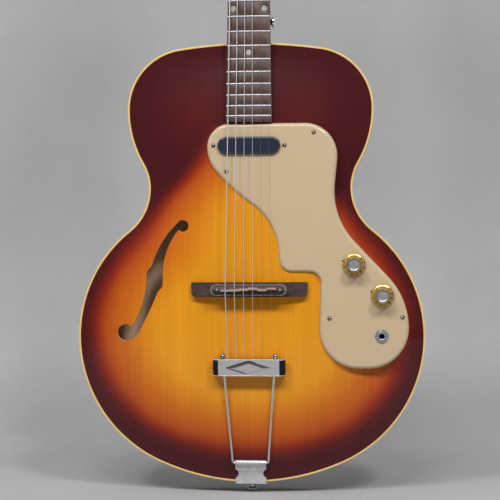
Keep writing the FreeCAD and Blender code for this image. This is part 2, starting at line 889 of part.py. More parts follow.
def make_linings():
    ledge = S.plate_thickness + S.seat_gap
    outer = S.rim_thickness + S.seat_gap
    inner = S.rim_thickness + S.lining_thickness
    spaces = [neck_block_space(S.seat_gap), tail_block_space(S.seat_gap)]
    strips = []
    for low in (FRONT + ledge, BACK - ledge - S.lining_depth):
        strips.extend(outline_ring(outer, inner, low, low + S.lining_depth).cut(spaces).Solids)
    add_shape("linings", Part.Compound(strips))


def between_plates(shape):
    """Fits a piece to the insides of the rim and of both plates."""
    depth = S.body_depth + S.top_arch + S.back_arch
    ledge = S.plate_thickness + S.seat_gap
    shape = shape.common(outline_prism(S.rim_thickness + S.seat_gap, FRONT - S.top_arch, BACK + S.back_arch))
    shape = shape.common(slab(TOP_FACE, -1, ledge, depth))
    return shape.common(slab(BACK_FACE, 1, ledge, depth))


def make_blocks():
    add_shape("neck_block", between_plates(neck_block_space(0)).cut(tenon_prism(S.seat_gap)))
    add_shape("tail_block", between_plates(tail_block_space(0)).cut(tail_screw_holes()))


def make_tone_bars():
    layer = slab(TOP_FACE, -1, S.plate_thickness + S.seat_gap, S.tone_bar_depth)
    half = S.tone_bar_width / 2
    bars = []
    for side in (-1, 1):
        x = side * S.tone_bar_spacing / 2
        low = V(x - half, FRONT - S.top_arch, SADDLE.z - S.tone_bar_length / 2)
        high = V(x + half, BACK, SADDLE.z + S.tone_bar_length / 2)
        bars.append(layer.common(block(low, high)))
    add_shape("tone_bars", Part.Compound(bars))


# Neck pieces
def neck_section(z, top_width, bottom_width, side, depth):
    """Rounded section under the board, level with the board's underside at its top."""
    y = S.board_thickness
    left, right = V(-top_width / 2, y, z), V(top_width / 2, y, z)
    low_left, low_right = V(-bottom_width / 2, y + side, z), V(bottom_width / 2, y + side, z)
    round_back = Part.Arc(low_left, V(0, y + depth, z), low_right).toShape()
    sides = [Part.makeLine(low_right, right), Part.makeLine(right, left)]
    edges = [Part.makeLine(left, low_left), round_back] + sides
    return Part.Wire(edges)


def make_shaft():
    start = S.joint_inset + S.heel_length
    end = NUT_Z + S.nut_thickness + S.overrun
    wide, narrow = board_width(start), S.nut_width
    low = neck_section(start, wide, wide, S.neck_side, S.neck_depth_joint)
    high = neck_section(end, narrow, narrow, S.neck_side, S.neck_depth_nut)
    return Part.makeLoft([low, high], True, True)


def make_heel():
    sections = []
    for up, gain, loss in HEEL_SHARES:
        z = S.joint_inset + S.heel_length * up
        width = board_width(z)
        bottom = width + (S.heel_cap_width - width) * loss
        depth = S.neck_depth_joint + (S.heel_depth - S.neck_depth_joint) * gain
        side = S.neck_side + (depth - S.neck_depth_joint) * HEEL_SIDE_SHARE
        sections.append(neck_section(z, width, bottom, side, depth))
    return Part.makeLoft(sections, True, False)


def headstock_outline():
    """Plain paddle: a flare from the nut, straight sides and a gently crowned tip."""
    base, wide, tip = S.nut_width / 2, S.headstock_width / 2, S.headstock_tip_width / 2
    length = S.headstock_length
    flare_start = S.tuner_first - S.tuner_pitch
    flare_end = flare_start + wide - base + S.tuner_plate_margin / 2
    shoulder = length - S.tuner_plate_margin / 2
    right = [(base, 0, 0), (base, flare_start, base / 2)]
    right += [(wide, flare_end, base / 2), (tip, shoulder, base / 2)]
    crown = (0, length, length / 2)
    corners = right + [crown] + [(-x, z, radius) for x, z, radius in right[::-1]]
    return [V(x, 0, z) for x, z, radius in corners], [radius for x, z, radius in corners]


def truss_slot():
    half = S.truss_rod_diameter / 2 + S.seat_gap
    low = V(-half, S.board_thickness - S.seat_gap, S.joint_inset + S.heel_length)
    high = V(half, S.board_thickness + S.truss_slot_depth, NUT_Z + S.nut_thickness + S.overrun)
    return placed(block(low, high), NECK)


def truss_pocket():
    half = S.truss_pocket_width / 2
    low = V(-half, -S.overrun, 0)
    high = V(half, S.truss_pocket_depth, S.truss_pocket_length)
    return placed(block(low, high), HEAD)


def head_front():
    reach = S.headstock_width
    return placed(block(V(-reach, -reach, 0), V(reach, 0, S.headstock_length)), HEAD)


def tongue():
    """Wood under the board's end, from the heel down to the arched top."""
    depth = S.neck_rise + S.top_arch
    y = S.board_thickness
    wide = board_width(BOARD_END) / 2 - S.fret_width
    narrow = board_width(S.joint_inset) / 2 - S.fret_width
    low, high = BOARD_END + S.fret_width, S.joint_inset + S.overrun
    corners = [V(-wide, y, low), V(wide, y, low), V(narrow, y, high), V(-narrow, y, high)]
    wedge = placed(flat_face(corners).extrude(INWARD * depth), NECK)
    return wedge.cut(slab(TOP_FACE, -1, -S.seat_gap, S.body_depth))


def post_holes():
    depth = S.headstock_thickness + 2 * S.overrun
    holes = []
    for index in range(STRING_COUNT):
        start = post_place(index)[1] - INWARD * S.overrun
        holes.append(Part.makeCylinder(S.post_diameter / 2 + S.seat_gap, depth, start, INWARD))
        seat = S.overrun + S.bushing_depth
        holes.append(Part.makeCylinder(S.bushing_diameter / 2 + S.fit_gap, seat, start, INWARD))
    return placed(Part.Compound(holes), HEAD)


def neck_screw_holes():
    holes = []
    for side in (-1, 1):
        for place in plate_screw_places(side):
            holes.append(screw_hole(place, -INWARD, S.small_screw_bite, S.small_screw_diameter))
    for place in cover_screw_places():
        holes.append(screw_hole(place, INWARD, S.small_screw_bite, S.small_screw_diameter))
    return placed(Part.Compound(holes), HEAD)


def heel_button_place(neck):
    """Where a level line out through the heel's treble side leaves the wood."""
    z = S.body_length + S.heel_button_rise
    y = FRONT + S.heel_button_depth
    line = Part.makeLine(V(0, y, z), V(S.lower_bout_width, y, z))
    inside = line.common(neck)
    return V(inside.BoundBox.XMax - S.heel_button_sink, y, z)


def make_neck():
    body = outline_prism(-S.seat_gap, FRONT - S.top_arch - S.neck_rise, BACK + S.back_arch)
    grip = placed(make_shaft(), NECK).fuse(placed(make_heel(), NECK))
    grip = grip.cut([body, head_front()])
    points, radii = headstock_outline()
    head = placed(rounded_face(points, radii).extrude(INWARD * S.headstock_thickness), HEAD)
    joint = tenon_prism(0).common(placed(board_underside(), NECK))
    wood = grip.multiFuse([head, tongue(), joint])
    wood = wood.cut([truss_slot(), truss_pocket(), post_holes(), neck_screw_holes()]).removeSplitter()
    button = heel_button_place(wood)
    hole = screw_hole(button, V(-1, 0, 0), S.wood_screw_length, S.wood_screw_diameter)
    add_shape("neck", wood.cut(hole))
    return button


def board_underside():
    """The space behind the board's underside, in the neck's frame."""
    reach = S.lower_bout_width
    return block(V(-reach, S.board_thickness, -reach), V(reach, reach, reach))


def blank_board():
    wide, narrow = S.board_end_width / 2, S.nut_width / 2
    y = -S.overrun
    corners = [V(-wide, y, BOARD_END), V(wide, y, BOARD_END), V(narrow, y, NUT_Z), V(-narrow, y, NUT_Z)]
    plank = flat_face(corners).extrude(INWARD * (S.overrun + S.board_thickness))
    crown = Part.makeCylinder(S.board_radius, NUT_Z - BOARD_END, V(0, S.board_radius, BOARD_END))
    return plank.common(crown)


def across_board(face, z, trim):
    """Turns a section about the crown's axis, from edge to edge of the board."""
    half = math.degrees(math.asin((board_width(z) / 2 - trim) / S.board_radius))
    axis = V(0, S.board_radius, 0)
    face = face.copy()
    face.rotate(axis, V(0, 0, 1), -half)
    return face.revolve(axis, V(0, 0, 1), 2 * half)


def tang_face(z, gap):
    half = S.tang_width / 2 + gap
    depth = S.tang_depth + gap
    return flat_face([V(0, 0, z - half), V(0, depth, z - half), V(0, depth, z + half), V(0, 0, z + half)])


def fret_face(z):
    half, tang, depth = S.fret_width / 2, S.tang_width / 2, S.tang_depth
    crown = Part.Arc(V(0, 0, z - half), V(0, -S.fret_height, z), V(0, 0, z + half)).toShape()
    under = [V(0, 0, z + half), V(0, 0, z + tang), V(0, depth, z + tang), V(0, depth, z - tang)]
    under += [V(0, 0, z - tang), V(0, 0, z - half)]
    return Part.Face(Part.Wire([crown] + Part.makePolygon(under).Edges))


def dot_places():
    places = []
    for number in DOT_FRETS + (DOUBLE_DOT_FRET,):
        z = NUT_Z - (fret_place(number) + fret_place(number - 1)) / 2
        reach = S.double_dot_spacing / 2 if number == DOUBLE_DOT_FRET else 0
        places.extend(V(x, 0, z) for x in sorted({-reach, reach}))
    return places


def make_fingerboard():
    blank = blank_board()
    dots = []
    for place in dot_places():
        floor = place + V(0, crown_drop(abs(place.x)) + S.dot_depth, 0)
        dots.append(Part.makeCylinder(S.dot_diameter / 2, S.overrun, floor, -INWARD))
    frets = []
    slots = []
    for number in range(1, FRET_COUNT + 1):
        z = NUT_Z - fret_place(number)
        frets.append(across_board(fret_face(z), z, S.tang_width))
        slots.append(across_board(tang_face(z, S.fit_gap), z, -S.overrun))
    add_shape("fingerboard", blank.cut(dots + slots), NECK)
    add_shape("frets", Part.Compound(frets), NECK)
    add_shape("position_dots", Part.Compound([dot.common(blank) for dot in dots]), NECK)


def make_nut():
    half = S.nut_width / 2
    crest = S.fret_height + S.nut_lift + max(GAUGES) / 2
    bar = block(V(-half, -crest, NUT_Z), V(half, S.board_thickness, NUT_Z + S.nut_thickness))
    slots = []
    into_neck = NECK.inverse()
    for index, gauge in enumerate(GAUGES):
        place = into_neck.multVec(nut_point(index))
        radius = gauge / 2 + S.string_gap
        for target in (saddle_point(index), wrap_edges(index, nut_point(index))[0]):
            heading = (into_neck.multVec(target) - place).normalize()
            start = place - heading * S.string_gap
            run = heading * (2 * S.nut_thickness)
            slots.append(string_slot(start, run, radius, 2 * crest))
    add_shape("nut", bar.cut(slots), NECK)


def string_slot(start, run, half, height):
    """Square groove along a string, open to the front, so that the string drops in."""
    side = V(half, 0, 0)
    floor = start + INWARD * half
    corners = [floor - side, floor + side, floor + side + run, floor - side + run]
    return flat_face(corners).extrude(-INWARD * height)


def make_truss_rod():
    y = S.board_thickness + S.truss_slot_depth - S.truss_rod_diameter / 2 - S.seat_gap
    low = S.joint_inset + S.heel_length + S.seat_gap
    reach = NUT_Z + S.nut_thickness + S.truss_rod_reach
    rod = rod_between(V(0, y, low), V(0, y, reach), S.truss_rod_diameter)
    collar = rod_between(V(0, y, reach - S.truss_nut_length), V(0, y, reach), S.truss_nut_diameter)
    adjuster = collar.cut(rod_between(V(0, y, low), V(0, y, reach), S.truss_rod_diameter + 2 * S.fit_gap))
    add_shape("truss_rod", Part.Compound([rod, adjuster]), NECK)


def cover_corners():
    wide, narrow = S.cover_width / 2, S.cover_width / 4
    low, high = S.cover_thickness, S.cover_thickness + S.cover_length
    y = -S.seat_gap
    points = [V(-wide, y, low), V(wide, y, low), V(narrow, y, high), V(-narrow, y, high)]
    tip = narrow - S.cover_thickness
    return points, [S.cover_thickness, S.cover_thickness, tip, tip]


def cover_screw_places():
    inset = 2 * S.cover_thickness
    top = S.cover_thickness + S.cover_length - inset
    side = S.cover_width / 2 - inset / 2
    return [V(-side, 0, inset), V(side, 0, inset), V(0, 0, top)]


def make_truss_cover():
    points, radii = cover_corners()
    plate = rounded_face(points, radii).extrude(-INWARD * S.cover_thickness)
    holes = []
    for place in cover_screw_places():
        start = place - INWARD * (S.cover_thickness + S.overrun)
        holes.append(screw_hole(start, INWARD, 2 * S.overrun + S.cover_thickness, S.small_screw_diameter))
    add_shape("truss_rod_cover", plate.cut(holes), HEAD)


# Tuners, each worked out about its own post
GEAR_Y = S.headstock_thickness + S.tuner_plate_thickness + S.worm_gap + S.worm_radius + S.tooth_addendum
WORM_Z = S.gear_radius + S.worm_radius
PITCH = 2 * math.pi * S.gear_radius / GEAR_TEETH


def mirrored(shape, side):
    return shape if side > 0 else shape.mirror(V(0, 0, 0), V(1, 0, 0))


def make_gear():
    """Straight teeth; one points at the worm."""
    levels = (
        (S.gear_radius - S.tooth_dedendum, TOOTH_SHARES[2]),
        (S.gear_radius, TOOTH_SHARES[0]),
        (S.gear_radius + S.tooth_addendum, TOOTH_SHARES[1]),
    )
    points = []
    for tooth in range(GEAR_TEETH):
        middle = math.pi / 2 + 2 * math.pi * tooth / GEAR_TEETH
        flank = [(radius, -share * PITCH / (2 * S.gear_radius)) for radius, share in levels]
        flank += [(radius, -lean) for radius, lean in flank[::-1]]
        points.extend(V(r * math.cos(middle + lean), 0, r * math.sin(middle + lean)) for r, lean in flank)
    wheel = flat_face(points).extrude(INWARD * S.gear_width)
    wheel.translate(V(0, GEAR_Y - S.gear_width / 2, 0))
    bore = S.post_seat_diameter + 2 * S.fit_gap
    return wheel.cut(rod_between(V(0, 0, 0), INWARD * (GEAR_Y + S.gear_width), bore))


def make_post():
    """Capstan with a waist for the string, a collar on the plate and a screwed end that holds the gear."""
    plate = S.headstock_thickness + S.tuner_plate_thickness
    seat = GEAR_Y - S.gear_width / 2
    end = GEAR_Y + S.gear_width / 2
    runs = [
        (-S.post_rise, plate + S.seat_gap, S.post_diameter),
        (plate + S.seat_gap, seat - S.fit_gap, S.post_collar_diameter),
        (seat - S.fit_gap, end + S.fit_gap, S.post_seat_diameter),
        (end + S.fit_gap, end + S.fit_gap + S.post_head_height, S.post_head_diameter),
    ]
    post = None
    for start, stop, diameter in runs:
        run = rod_between(INWARD * start, INWARD * stop, diameter)
        post = run if post is None else post.fuse(run)
    level = -S.wrap_rise - S.string_hole_diameter
    hole = rod_between(V(0, level, -S.post_diameter), V(0, level, S.post_diameter), S.string_hole_diameter)
    slot_half = V(S.post_head_diameter, 0, S.wrap_gap)
    floor = INWARD * (end + S.fit_gap + S.post_head_height * GEAR_SCREW_SHARE)
    slot = block(floor - slot_half, floor + slot_half + INWARD * S.post_head_height)
    return post.cut([hole, slot])


def make_worm():
    """One thread about +X, with a gap opposite the gear's centre."""
    core = S.worm_radius - S.tooth_dedendum
    crest = S.worm_radius + S.tooth_addendum
    length = WORM_TURNS * PITCH
    half_root, half_crest = TOOTH_SHARES[2] * PITCH / 2, TOOTH_SHARES[1] * PITCH / 2
    sunk = core - S.fit_gap
    corners = [V(sunk, 0, -half_root), V(crest, 0, -half_crest)]
    corners += [V(crest, 0, half_crest), V(sunk, 0, half_root)]
    helix = Part.Wire(Part.makeHelix(PITCH, length, S.worm_radius).Edges)
    thread = helix.makePipeShell([Part.makePolygon(corners + [corners[0]])], True, True)
    thread.translate(V(0, 0, -length / 2))
    inner = S.lug_spacing / 2 - S.lug_thickness / 2 - S.seat_gap
    barrel = rod_between(V(0, 0, -inner), V(0, 0, inner), 2 * core)
    worm = barrel.fuse(thread)
    return placed(worm, Placement(V(0, GEAR_Y, WORM_Z), Rotation(V(0, 1, 0), 90)))


def make_key_shaft():
    lug_end = S.lug_spacing / 2 + S.lug_thickness / 2 + S.key_tail
    start = V(-lug_end, GEAR_Y, WORM_Z)
    end = V(S.key_reach + S.button_length * GEAR_SCREW_SHARE, GEAR_Y, WORM_Z)
    return rod_between(start, end, S.key_shaft_diameter).fuse(make_worm())


def make_key_button():
    """Keystone button with softened edges, on the end of the shaft."""
    narrow, wide = S.button_neck_width / 2, S.button_width / 2
    y = GEAR_Y - S.button_thickness / 2
    low, high = S.key_reach, S.key_reach + S.button_length
    points = [V(low, y, WORM_Z - narrow), V(high, y, WORM_Z - wide)]
    points += [V(high, y, WORM_Z + wide), V(low, y, WORM_Z + narrow)]
    solid = rounded_face(points, [S.button_edge, S.button_corner, S.button_corner, S.button_edge])
    solid = solid.extrude(INWARD * S.button_thickness)
    rims = [edge for edge in solid.Edges if abs(edge.BoundBox.YLength) < S.fit_gap]
    solid = solid.makeFillet(S.button_edge, rims)
    bore = rod_between(
        V(0, GEAR_Y, WORM_Z),
        V(low + S.button_length * GEAR_SCREW_SHARE + S.seat_gap, GEAR_Y, WORM_Z),
        S.key_shaft_diameter + 2 * S.fit_gap,
    )
    return solid.cut(bore)


def plate_screw_places(side):
    rows = [S.tuner_first + S.tuner_pitch * (step - 1 / 2) for step in range(TUNERS_PER_SIDE + 1)]
    rows[0] = S.tuner_first - S.tuner_plate_margin + S.tuner_plate_corner
    last = S.tuner_first + S.tuner_pitch * (TUNERS_PER_SIDE - 1)
    rows[-1] = last + S.tuner_plate_margin + S.tuner_plate_corner
    return [V(side * S.tuner_spread / 2, S.headstock_thickness + S.tuner_plate_thickness, z) for z in rows]


def make_tuner_plate(side):
    half = S.tuner_plate_width / 2
    x = side * S.tuner_spread / 2
    low = S.tuner_first - S.tuner_plate_margin
    last = S.tuner_first + S.tuner_pitch * (TUNERS_PER_SIDE - 1)
    high = last + S.tuner_plate_margin + 2 * S.tuner_plate_corner
    y = S.headstock_thickness
    points = [V(x - half, y, low), V(x + half, y, low), V(x + half, y, high), V(x - half, y, high)]
    face = rounded_face(points, [S.tuner_plate_corner] * len(points))
    plate = face.extrude(INWARD * S.tuner_plate_thickness)
    lugs = []
    holes = []
    top = GEAR_Y + S.lug_rise
    for step in range(TUNERS_PER_SIDE):
        centre = V(x, 0, S.tuner_first + S.tuner_pitch * step)
        start = centre - INWARD * S.overrun
        holes.append(rod_between(start, centre + INWARD * GEAR_Y, S.post_diameter + 2 * S.fit_gap))
        for hand in (-1, 1):
            middle = x + hand * S.lug_spacing / 2
            corner = V(middle - S.lug_thickness / 2, y, centre.z + WORM_Z - S.lug_width / 2)
            far = V(middle + S.lug_thickness / 2, top, centre.z + WORM_Z + S.lug_width / 2)
            lugs.append(block(corner, far))
        reach = V(S.lug_spacing, 0, 0)
        axis = centre + V(0, GEAR_Y, WORM_Z)
        holes.append(rod_between(axis - reach, axis + reach, S.key_shaft_diameter + 2 * S.fit_gap))
    for place in plate_screw_places(side):
        holes.append(screw_hole(place, -INWARD, S.small_screw_bite, S.small_screw_diameter))
    return plate.multiFuse(lugs).cut(holes)


def make_tuners():
    post, gear, shaft, button = make_post(), make_gear(), make_key_shaft(), make_key_button()
    for index in range(STRING_COUNT):
        side, place = post_place(index)
        spot = HEAD.multiply(Placement(place, Rotation()))
        key = Part.Compound([mirrored(shaft, side), mirrored(button, side)])
        add_shape(f"tuner_key_{index + 1}", key, spot)
        add_shape(f"tuner_post_{index + 1}", Part.Compound([post, mirrored(gear, side)]), spot)
    add_shape("tuner_plates", Part.Compound([make_tuner_plate(-1), make_tuner_plate(1)]), HEAD)


def make_bushings():
    bore = "post_diameter / 2 + fit_gap"
    profile = [
        (bore, "-bushing_depth"),
        ("bushing_diameter / 2", "-bushing_depth"),
        ("bushing_diameter / 2", "0"),
        ("bushing_flange_diameter / 2", "0"),
        ("bushing_flange_diameter / 2", "bushing_flange_height"),
        (bore, "bushing_flange_height"),
    ]
    master = turned("bushing", profile)
    rings = []
    for index in range(STRING_COUNT):
        spot = HEAD.multiply(Placement(post_place(index)[1] - INWARD * S.fit_gap, FACING))
        rings.append(placed(master.Shape, spot))
    add_shape("tuner_bushings", Part.Compound(rings))


# Strings
def wrap_edges(index, break_point):
    """Three quarters of a turn on the post, in the plane of the string that comes to it."""
    side, place = post_place(index)
    centre = HEAD.multVec(place - INWARD * S.wrap_rise)
    tilt = math.radians(HEADSTOCK_ANGLE)
    radius = (S.post_diameter / 2 + S.wrap_gap + GAUGES[index] / 2) / math.cos(tilt)
    ahead = centre - break_point
    span = ahead.Length
    ahead.normalize()
    inner = V(-side, 0, 0)
    inner = (inner - ahead * ahead.dot(inner)).normalize()
    lean = math.asin(radius / span)
    heading = ahead * math.cos(lean) + inner * math.sin(lean)
    touch = break_point + heading * (span * math.cos(lean))
    spoke = (centre - touch).normalize()

    def around(turn):
        return centre - spoke * (radius * math.cos(turn)) + heading * (radius * math.sin(turn))

    quarter = math.pi / 2
    first = Part.Arc(touch, around(quarter * 3 / 4), around(quarter * 3 / 2)).toShape()
    last = Part.Arc(around(quarter * 3 / 2), around(quarter * 9 / 4), around(quarter * 3)).toShape()
    return touch, [first, last]


def ball_point(index):
    x = spread_place(S.tail_string_spread, index)
    top = TRAPEZE + S.crossbar_height - S.crossbar_wall - S.seat_gap - S.ball_diameter / 2
    return TAIL.multVec(V(x, -S.rod_diameter / 2, top))


def make_string(index):
    start, saddle, nut = ball_point(index), saddle_point(index), nut_point(index)
    touch, wrap = wrap_edges(index, nut)
    bend = S.bend_radius
    runs = rounded_edges([start, saddle, nut, touch], [0, bend, bend, 0], closed=False)
    wire = tube(runs + wrap, GAUGES[index])
    ball = Part.makeSphere(S.ball_diameter / 2, start)
    return wire.fuse(ball)


def make_strings():
    strings = [make_string(index) for index in range(STRING_COUNT)]
    add_shape("wound_strings", Part.Compound(strings[:4]))
    add_shape("plain_strings", Part.Compound(strings[4:]))


# Bridge
BASE_TOP = FRONT - S.top_arch - S.bridge_base_height
WHEEL_BACK = BASE_TOP - S.thumbwheel_lift
SADDLE_BACK = WHEEL_BACK - S.thumbwheel_thickness
BRIDGE_POSTS = [V(side * S.bridge_post_spacing / 2, 0, BRIDGE_Z) for side in (-1, 1)]


def make_bridge_base():
    half, shoulder = S.bridge_base_length / 2, S.bridge_base_length / 2 - S.bridge_wing_length
    crest = FRONT - S.top_arch
    wing = crest - S.bridge_wing_height
    z = BRIDGE_Z - S.bridge_base_width / 2
    outline = [(-half, FRONT), (half, FRONT), (half, wing)]
    outline += [(shoulder, BASE_TOP), (-shoulder, BASE_TOP), (-half, wing)]
    base = flat_face([V(x, y, z) for x, y in outline]).extrude(UPWARD * S.bridge_base_width)
    low_edges = []
    for edge in base.Edges:
        box = edge.BoundBox
        upright = box.XLength + box.ZLength < S.fit_gap
        outer = abs(abs(box.XMin) - half) < S.fit_gap
        if upright and outer and box.ZMax < BRIDGE_Z:
            low_edges.append(edge)
    base = base.makeFillet(S.bridge_base_corner, low_edges)
    relief_half = S.bridge_relief_length / 2
    relief_low = V(-relief_half, crest - S.bridge_relief_height, z - S.overrun)
    relief_high = V(relief_half, FRONT, BRIDGE_Z + S.bridge_base_width)
    start, end = INWARD * (BASE_TOP - S.overrun), INWARD * (BASE_TOP + S.bridge_post_socket)
    bore = S.bridge_post_diameter + 2 * S.fit_gap
    sockets = [rod_between(place + start, place + end, bore) for place in BRIDGE_POSTS]
    arch = slab(TOP_FACE, -1, -S.seat_gap, S.body_depth)
    add_shape("bridge_base", base.cut([arch, block(relief_low, relief_high)] + sockets))


def make_bridge_posts():
    floor = BASE_TOP + S.bridge_post_socket - S.fit_gap
    top = SADDLE_BACK - S.saddle_beam_height + S.bridge_post_cover
    posts = [rod_between(p + INWARD * floor, p + INWARD * top, S.bridge_post_diameter) for p in BRIDGE_POSTS]
    add_shape("bridge_posts", Part.Compound(posts))


def make_thumbwheels():
    bore = "bridge_post_diameter / 2 + fit_gap"
    rim = "thumbwheel_diameter / 2"
    profile = [(bore, "0"), (rim, "0"), (rim, "thumbwheel_thickness"), (bore, "thumbwheel_thickness")]
    for name, place in zip(("thumbwheel_bass", "thumbwheel_treble"), BRIDGE_POSTS):
        spot = Placement(place + INWARD * WHEEL_BACK, FACING)
        keep(turned(name, profile, spot), name)


def make_saddle():
    half = S.saddle_length / 2
    low = V(-half, SADDLE_BACK - S.saddle_beam_height, BRIDGE_Z - S.saddle_width / 2)
    high = V(half, SADDLE_BACK, BRIDGE_Z + S.saddle_width / 2)
    beam = block(low, high)
    ends = [edge for edge in beam.Edges if edge.BoundBox.XLength + edge.BoundBox.ZLength < S.fit_gap]
    beam = beam.makeFillet(S.saddle_end_radius, ends)
    pitch = S.saddle_string_spread / (STRING_COUNT - 1)
    ridges = []
    notches = []
    for index, gauge in enumerate(GAUGES):
        point = saddle_point(index)
        crest = point.y + gauge / 2 + S.string_gap - S.notch_depth
        foot = SADDLE_BACK - S.saddle_beam_height / 2
        wide, thin = S.saddle_ridge_width / 2, S.saddle_crest_width / 2
        x = point.x - pitch / 2
        corners = [
            V(x, foot, point.z - wide), V(x, foot, point.z + wide),
            V(x, crest, point.z + thin), V(x, crest, point.z - thin),
        ]
        ridges.append(flat_face(corners).extrude(V(pitch, 0, 0)))
        radius = gauge / 2 + S.string_gap
        for target in (nut_point(index), ball_point(index)):
            heading = (target - point).normalize() * S.saddle_width
            start = point - heading * (S.string_gap / S.saddle_width)
            notches.append(string_slot(start, heading, radius, S.saddle_width))
    holes = [
        rod_between(p + INWARD * (SADDLE_BACK + S.overrun), p + INWARD * (SADDLE_BACK - S.bridge_height),
                    S.bridge_post_diameter + 2 * S.seat_gap)
        for p in BRIDGE_POSTS
    ]
    add_shape("bridge_saddle", beam.multiFuse(ridges).cut(notches + holes).removeSplitter())


# Trapeze tailpiece
def make_hinge():
    """Sheet bent over the rim's end, rolled into a barrel at its front end."""
    body = new_body("tailpiece_hinge")
    face = "-body_depth / 2 - seat_gap"
    outer = "-body_depth / 2 - seat_gap - hinge_plate_thickness"
    end = "-seat_gap - hinge_plate_thickness"
    barrel_y = "-body_depth / 2 - hinge_lift"
    sketch = sketch_on(body, "leaf", "YZ_Plane")
    draw_polygon(sketch, [
        ("hinge_leaf", "-seat_gap"),
        ("hinge_leaf", end),
        (outer, end),
        (outer, "hinge_flat"),
        (barrel_y + " - hinge_plate_thickness / 2", "hinge_rise"),
        (barrel_y + " + hinge_plate_thickness / 2", "hinge_rise"),
        (face, "hinge_flat"),
        (face, "-seat_gap"),
    ])
    pad(body, sketch, "hinge_width", midplane=True)
    roll = sketch_on(body, "barrel", "YZ_Plane")
    draw_circle(roll, barrel_y, "hinge_rise", "barrel_diameter")
    pad(body, roll, "hinge_width", midplane=True)
    notch = sketch_on(body, "waist", "XZ_Plane")
    for hand in ("-", ""):
        draw_circle(notch, hand + "(hinge_width / 2 + hinge_notch_radius - hinge_notch_depth)",
                    "(hinge_rise - barrel_diameter / 2) / 2", "2 * hinge_notch_radius")
    pocket(body, notch, "2 * body_depth", midplane=True)
    bore = sketch_on(body, "bore", "YZ_Plane")
    draw_circle(bore, barrel_y, "hinge_rise", "rod_diameter + 2 * fit_gap")
    pocket(body, bore, "2 * hinge_width", midplane=True)
    holes = sketch_on(body, "screws", "XY_Plane")
    for across in ("-hinge_screw_spacing / 2", "0", "hinge_screw_spacing / 2"):
        draw_circle(holes, across, "0", "wood_screw_diameter + 2 * fit_gap")
    pocket(body, holes, "body_depth", midplane=True)
    keep(body, "tailpiece_hinge")


def rod_points(side):
    """One rod in the trapeze's frame: its pin in the barrel, the bend and the straight run up."""
    corner = S.hinge_width / 2 + S.rod_gap + S.rod_bend_radius
    top = TRAPEZE + S.crossbar_height + S.rod_nut_height / 2
    inner = S.hinge_width / 2 - S.rod_pin_length
    return [V(side * inner, 0, 0), V(side * corner, 0, 0), V(side * S.rod_top_spacing / 2, 0, top)]


def make_rods():
    rods = []
    for side in (-1, 1):
        edges = rounded_edges(rod_points(side), [0, S.rod_bend_radius, 0], closed=False)
        rods.append(tube(edges, S.rod_diameter))
    add_shape("trapeze_rods", Part.Compound(rods), TAIL)


def rod_bore(side):
    start, corner, top = rod_points(side)
    along = (top - corner).normalize()
    return rod_between(corner, top + along * S.overrun, S.rod_diameter + 2 * S.fit_gap)


def diamond(length, height, y, z):
    right, up = V(length / 2, 0, 0), V(0, 0, height / 2)
    middle = V(0, y, z)
    return Part.makePolygon([middle - right, middle - up, middle + right, middle + up, middle - right])


def make_crossbar():
    """Pressed cover with rounded ends, open at the back, with a raised diamond and six string slots."""
    half = S.crossbar_width / 2
    low, high = TRAPEZE, TRAPEZE + S.crossbar_height
    front, back = -S.crossbar_front, S.crossbar_depth - S.crossbar_front
    wall = S.crossbar_wall
    points = [V(-half, front, low), V(half, front, low), V(half, back, low), V(-half, back, low)]
    section = rounded_face(points, [S.crossbar_corner, S.crossbar_corner, 0, 0])
    cover = section.extrude(UPWARD * S.crossbar_height)
    inner = S.crossbar_corner - wall
    left, right = -half + wall, half - wall
    hollow = [V(left, front + wall, low + wall), V(right, front + wall, low + wall)]
    hollow += [V(right, back + S.overrun, low + wall), V(left, back + S.overrun, low + wall)]
    space = rounded_face(hollow, [inner, inner, 0, 0]).extrude(UPWARD * (S.crossbar_height - 2 * wall))
    middle = (low + high) / 2
    base = diamond(S.diamond_length, S.diamond_height, front, middle)
    share = DIAMOND_TOP_SHARE
    crest = diamond(S.diamond_length * share, S.diamond_height * share, front - S.diamond_rise, middle)
    raised = Part.makeLoft([base, crest], True, True)
    slots = []
    for index in range(STRING_COUNT):
        x = spread_place(S.tail_string_spread, index)
        start = V(x, -S.rod_diameter / 2 - S.slot_width / 2, high - 2 * wall)
        size = V(S.slot_width / 2, 0, 0)
        slots.append(block(start - size, start + size + V(0, S.slot_reach, 3 * wall)))
    cover = cover.fuse(raised).cut([space] + slots + [rod_bore(side) for side in (-1, 1)])
    add_shape("tailpiece_crossbar", cover, TAIL)


def make_rod_nuts():
    bore, rim = "rod_diameter / 2 + fit_gap", "rod_nut_diameter / 2"
    foot, neck = "rod_nut_diameter * 3 / 8", "rod_nut_diameter / 4"
    profile = [
        (bore, "0"), (foot, "0"), (rim, "rod_nut_height / 4"), (rim, "rod_nut_height * 5 / 8"),
        (foot, "rod_nut_height * 7 / 8"), (neck, "rod_nut_height + rod_diameter / 8"),
        ("0", "rod_nut_height + rod_diameter / 4"), ("0", "rod_nut_height - rod_diameter / 8"),
        (bore, "rod_nut_height - rod_diameter / 8"),
    ]
    master = turned("rod_nut", profile)
    nuts = []
    for side in (-1, 1):
        start, corner, top = rod_points(side)
        along = (top - corner).normalize()
        lift = TRAPEZE + S.crossbar_height + S.seat_gap + along.x * side * S.rod_nut_diameter / 2
        seat = corner + along * ((lift - corner.z) / along.z)
        nuts.append(placed(master.Shape, TAIL.multiply(Placement(seat, Rotation(V(0, 0, 1), along)))))
    add_shape("trapeze_nuts", Part.Compound(nuts))


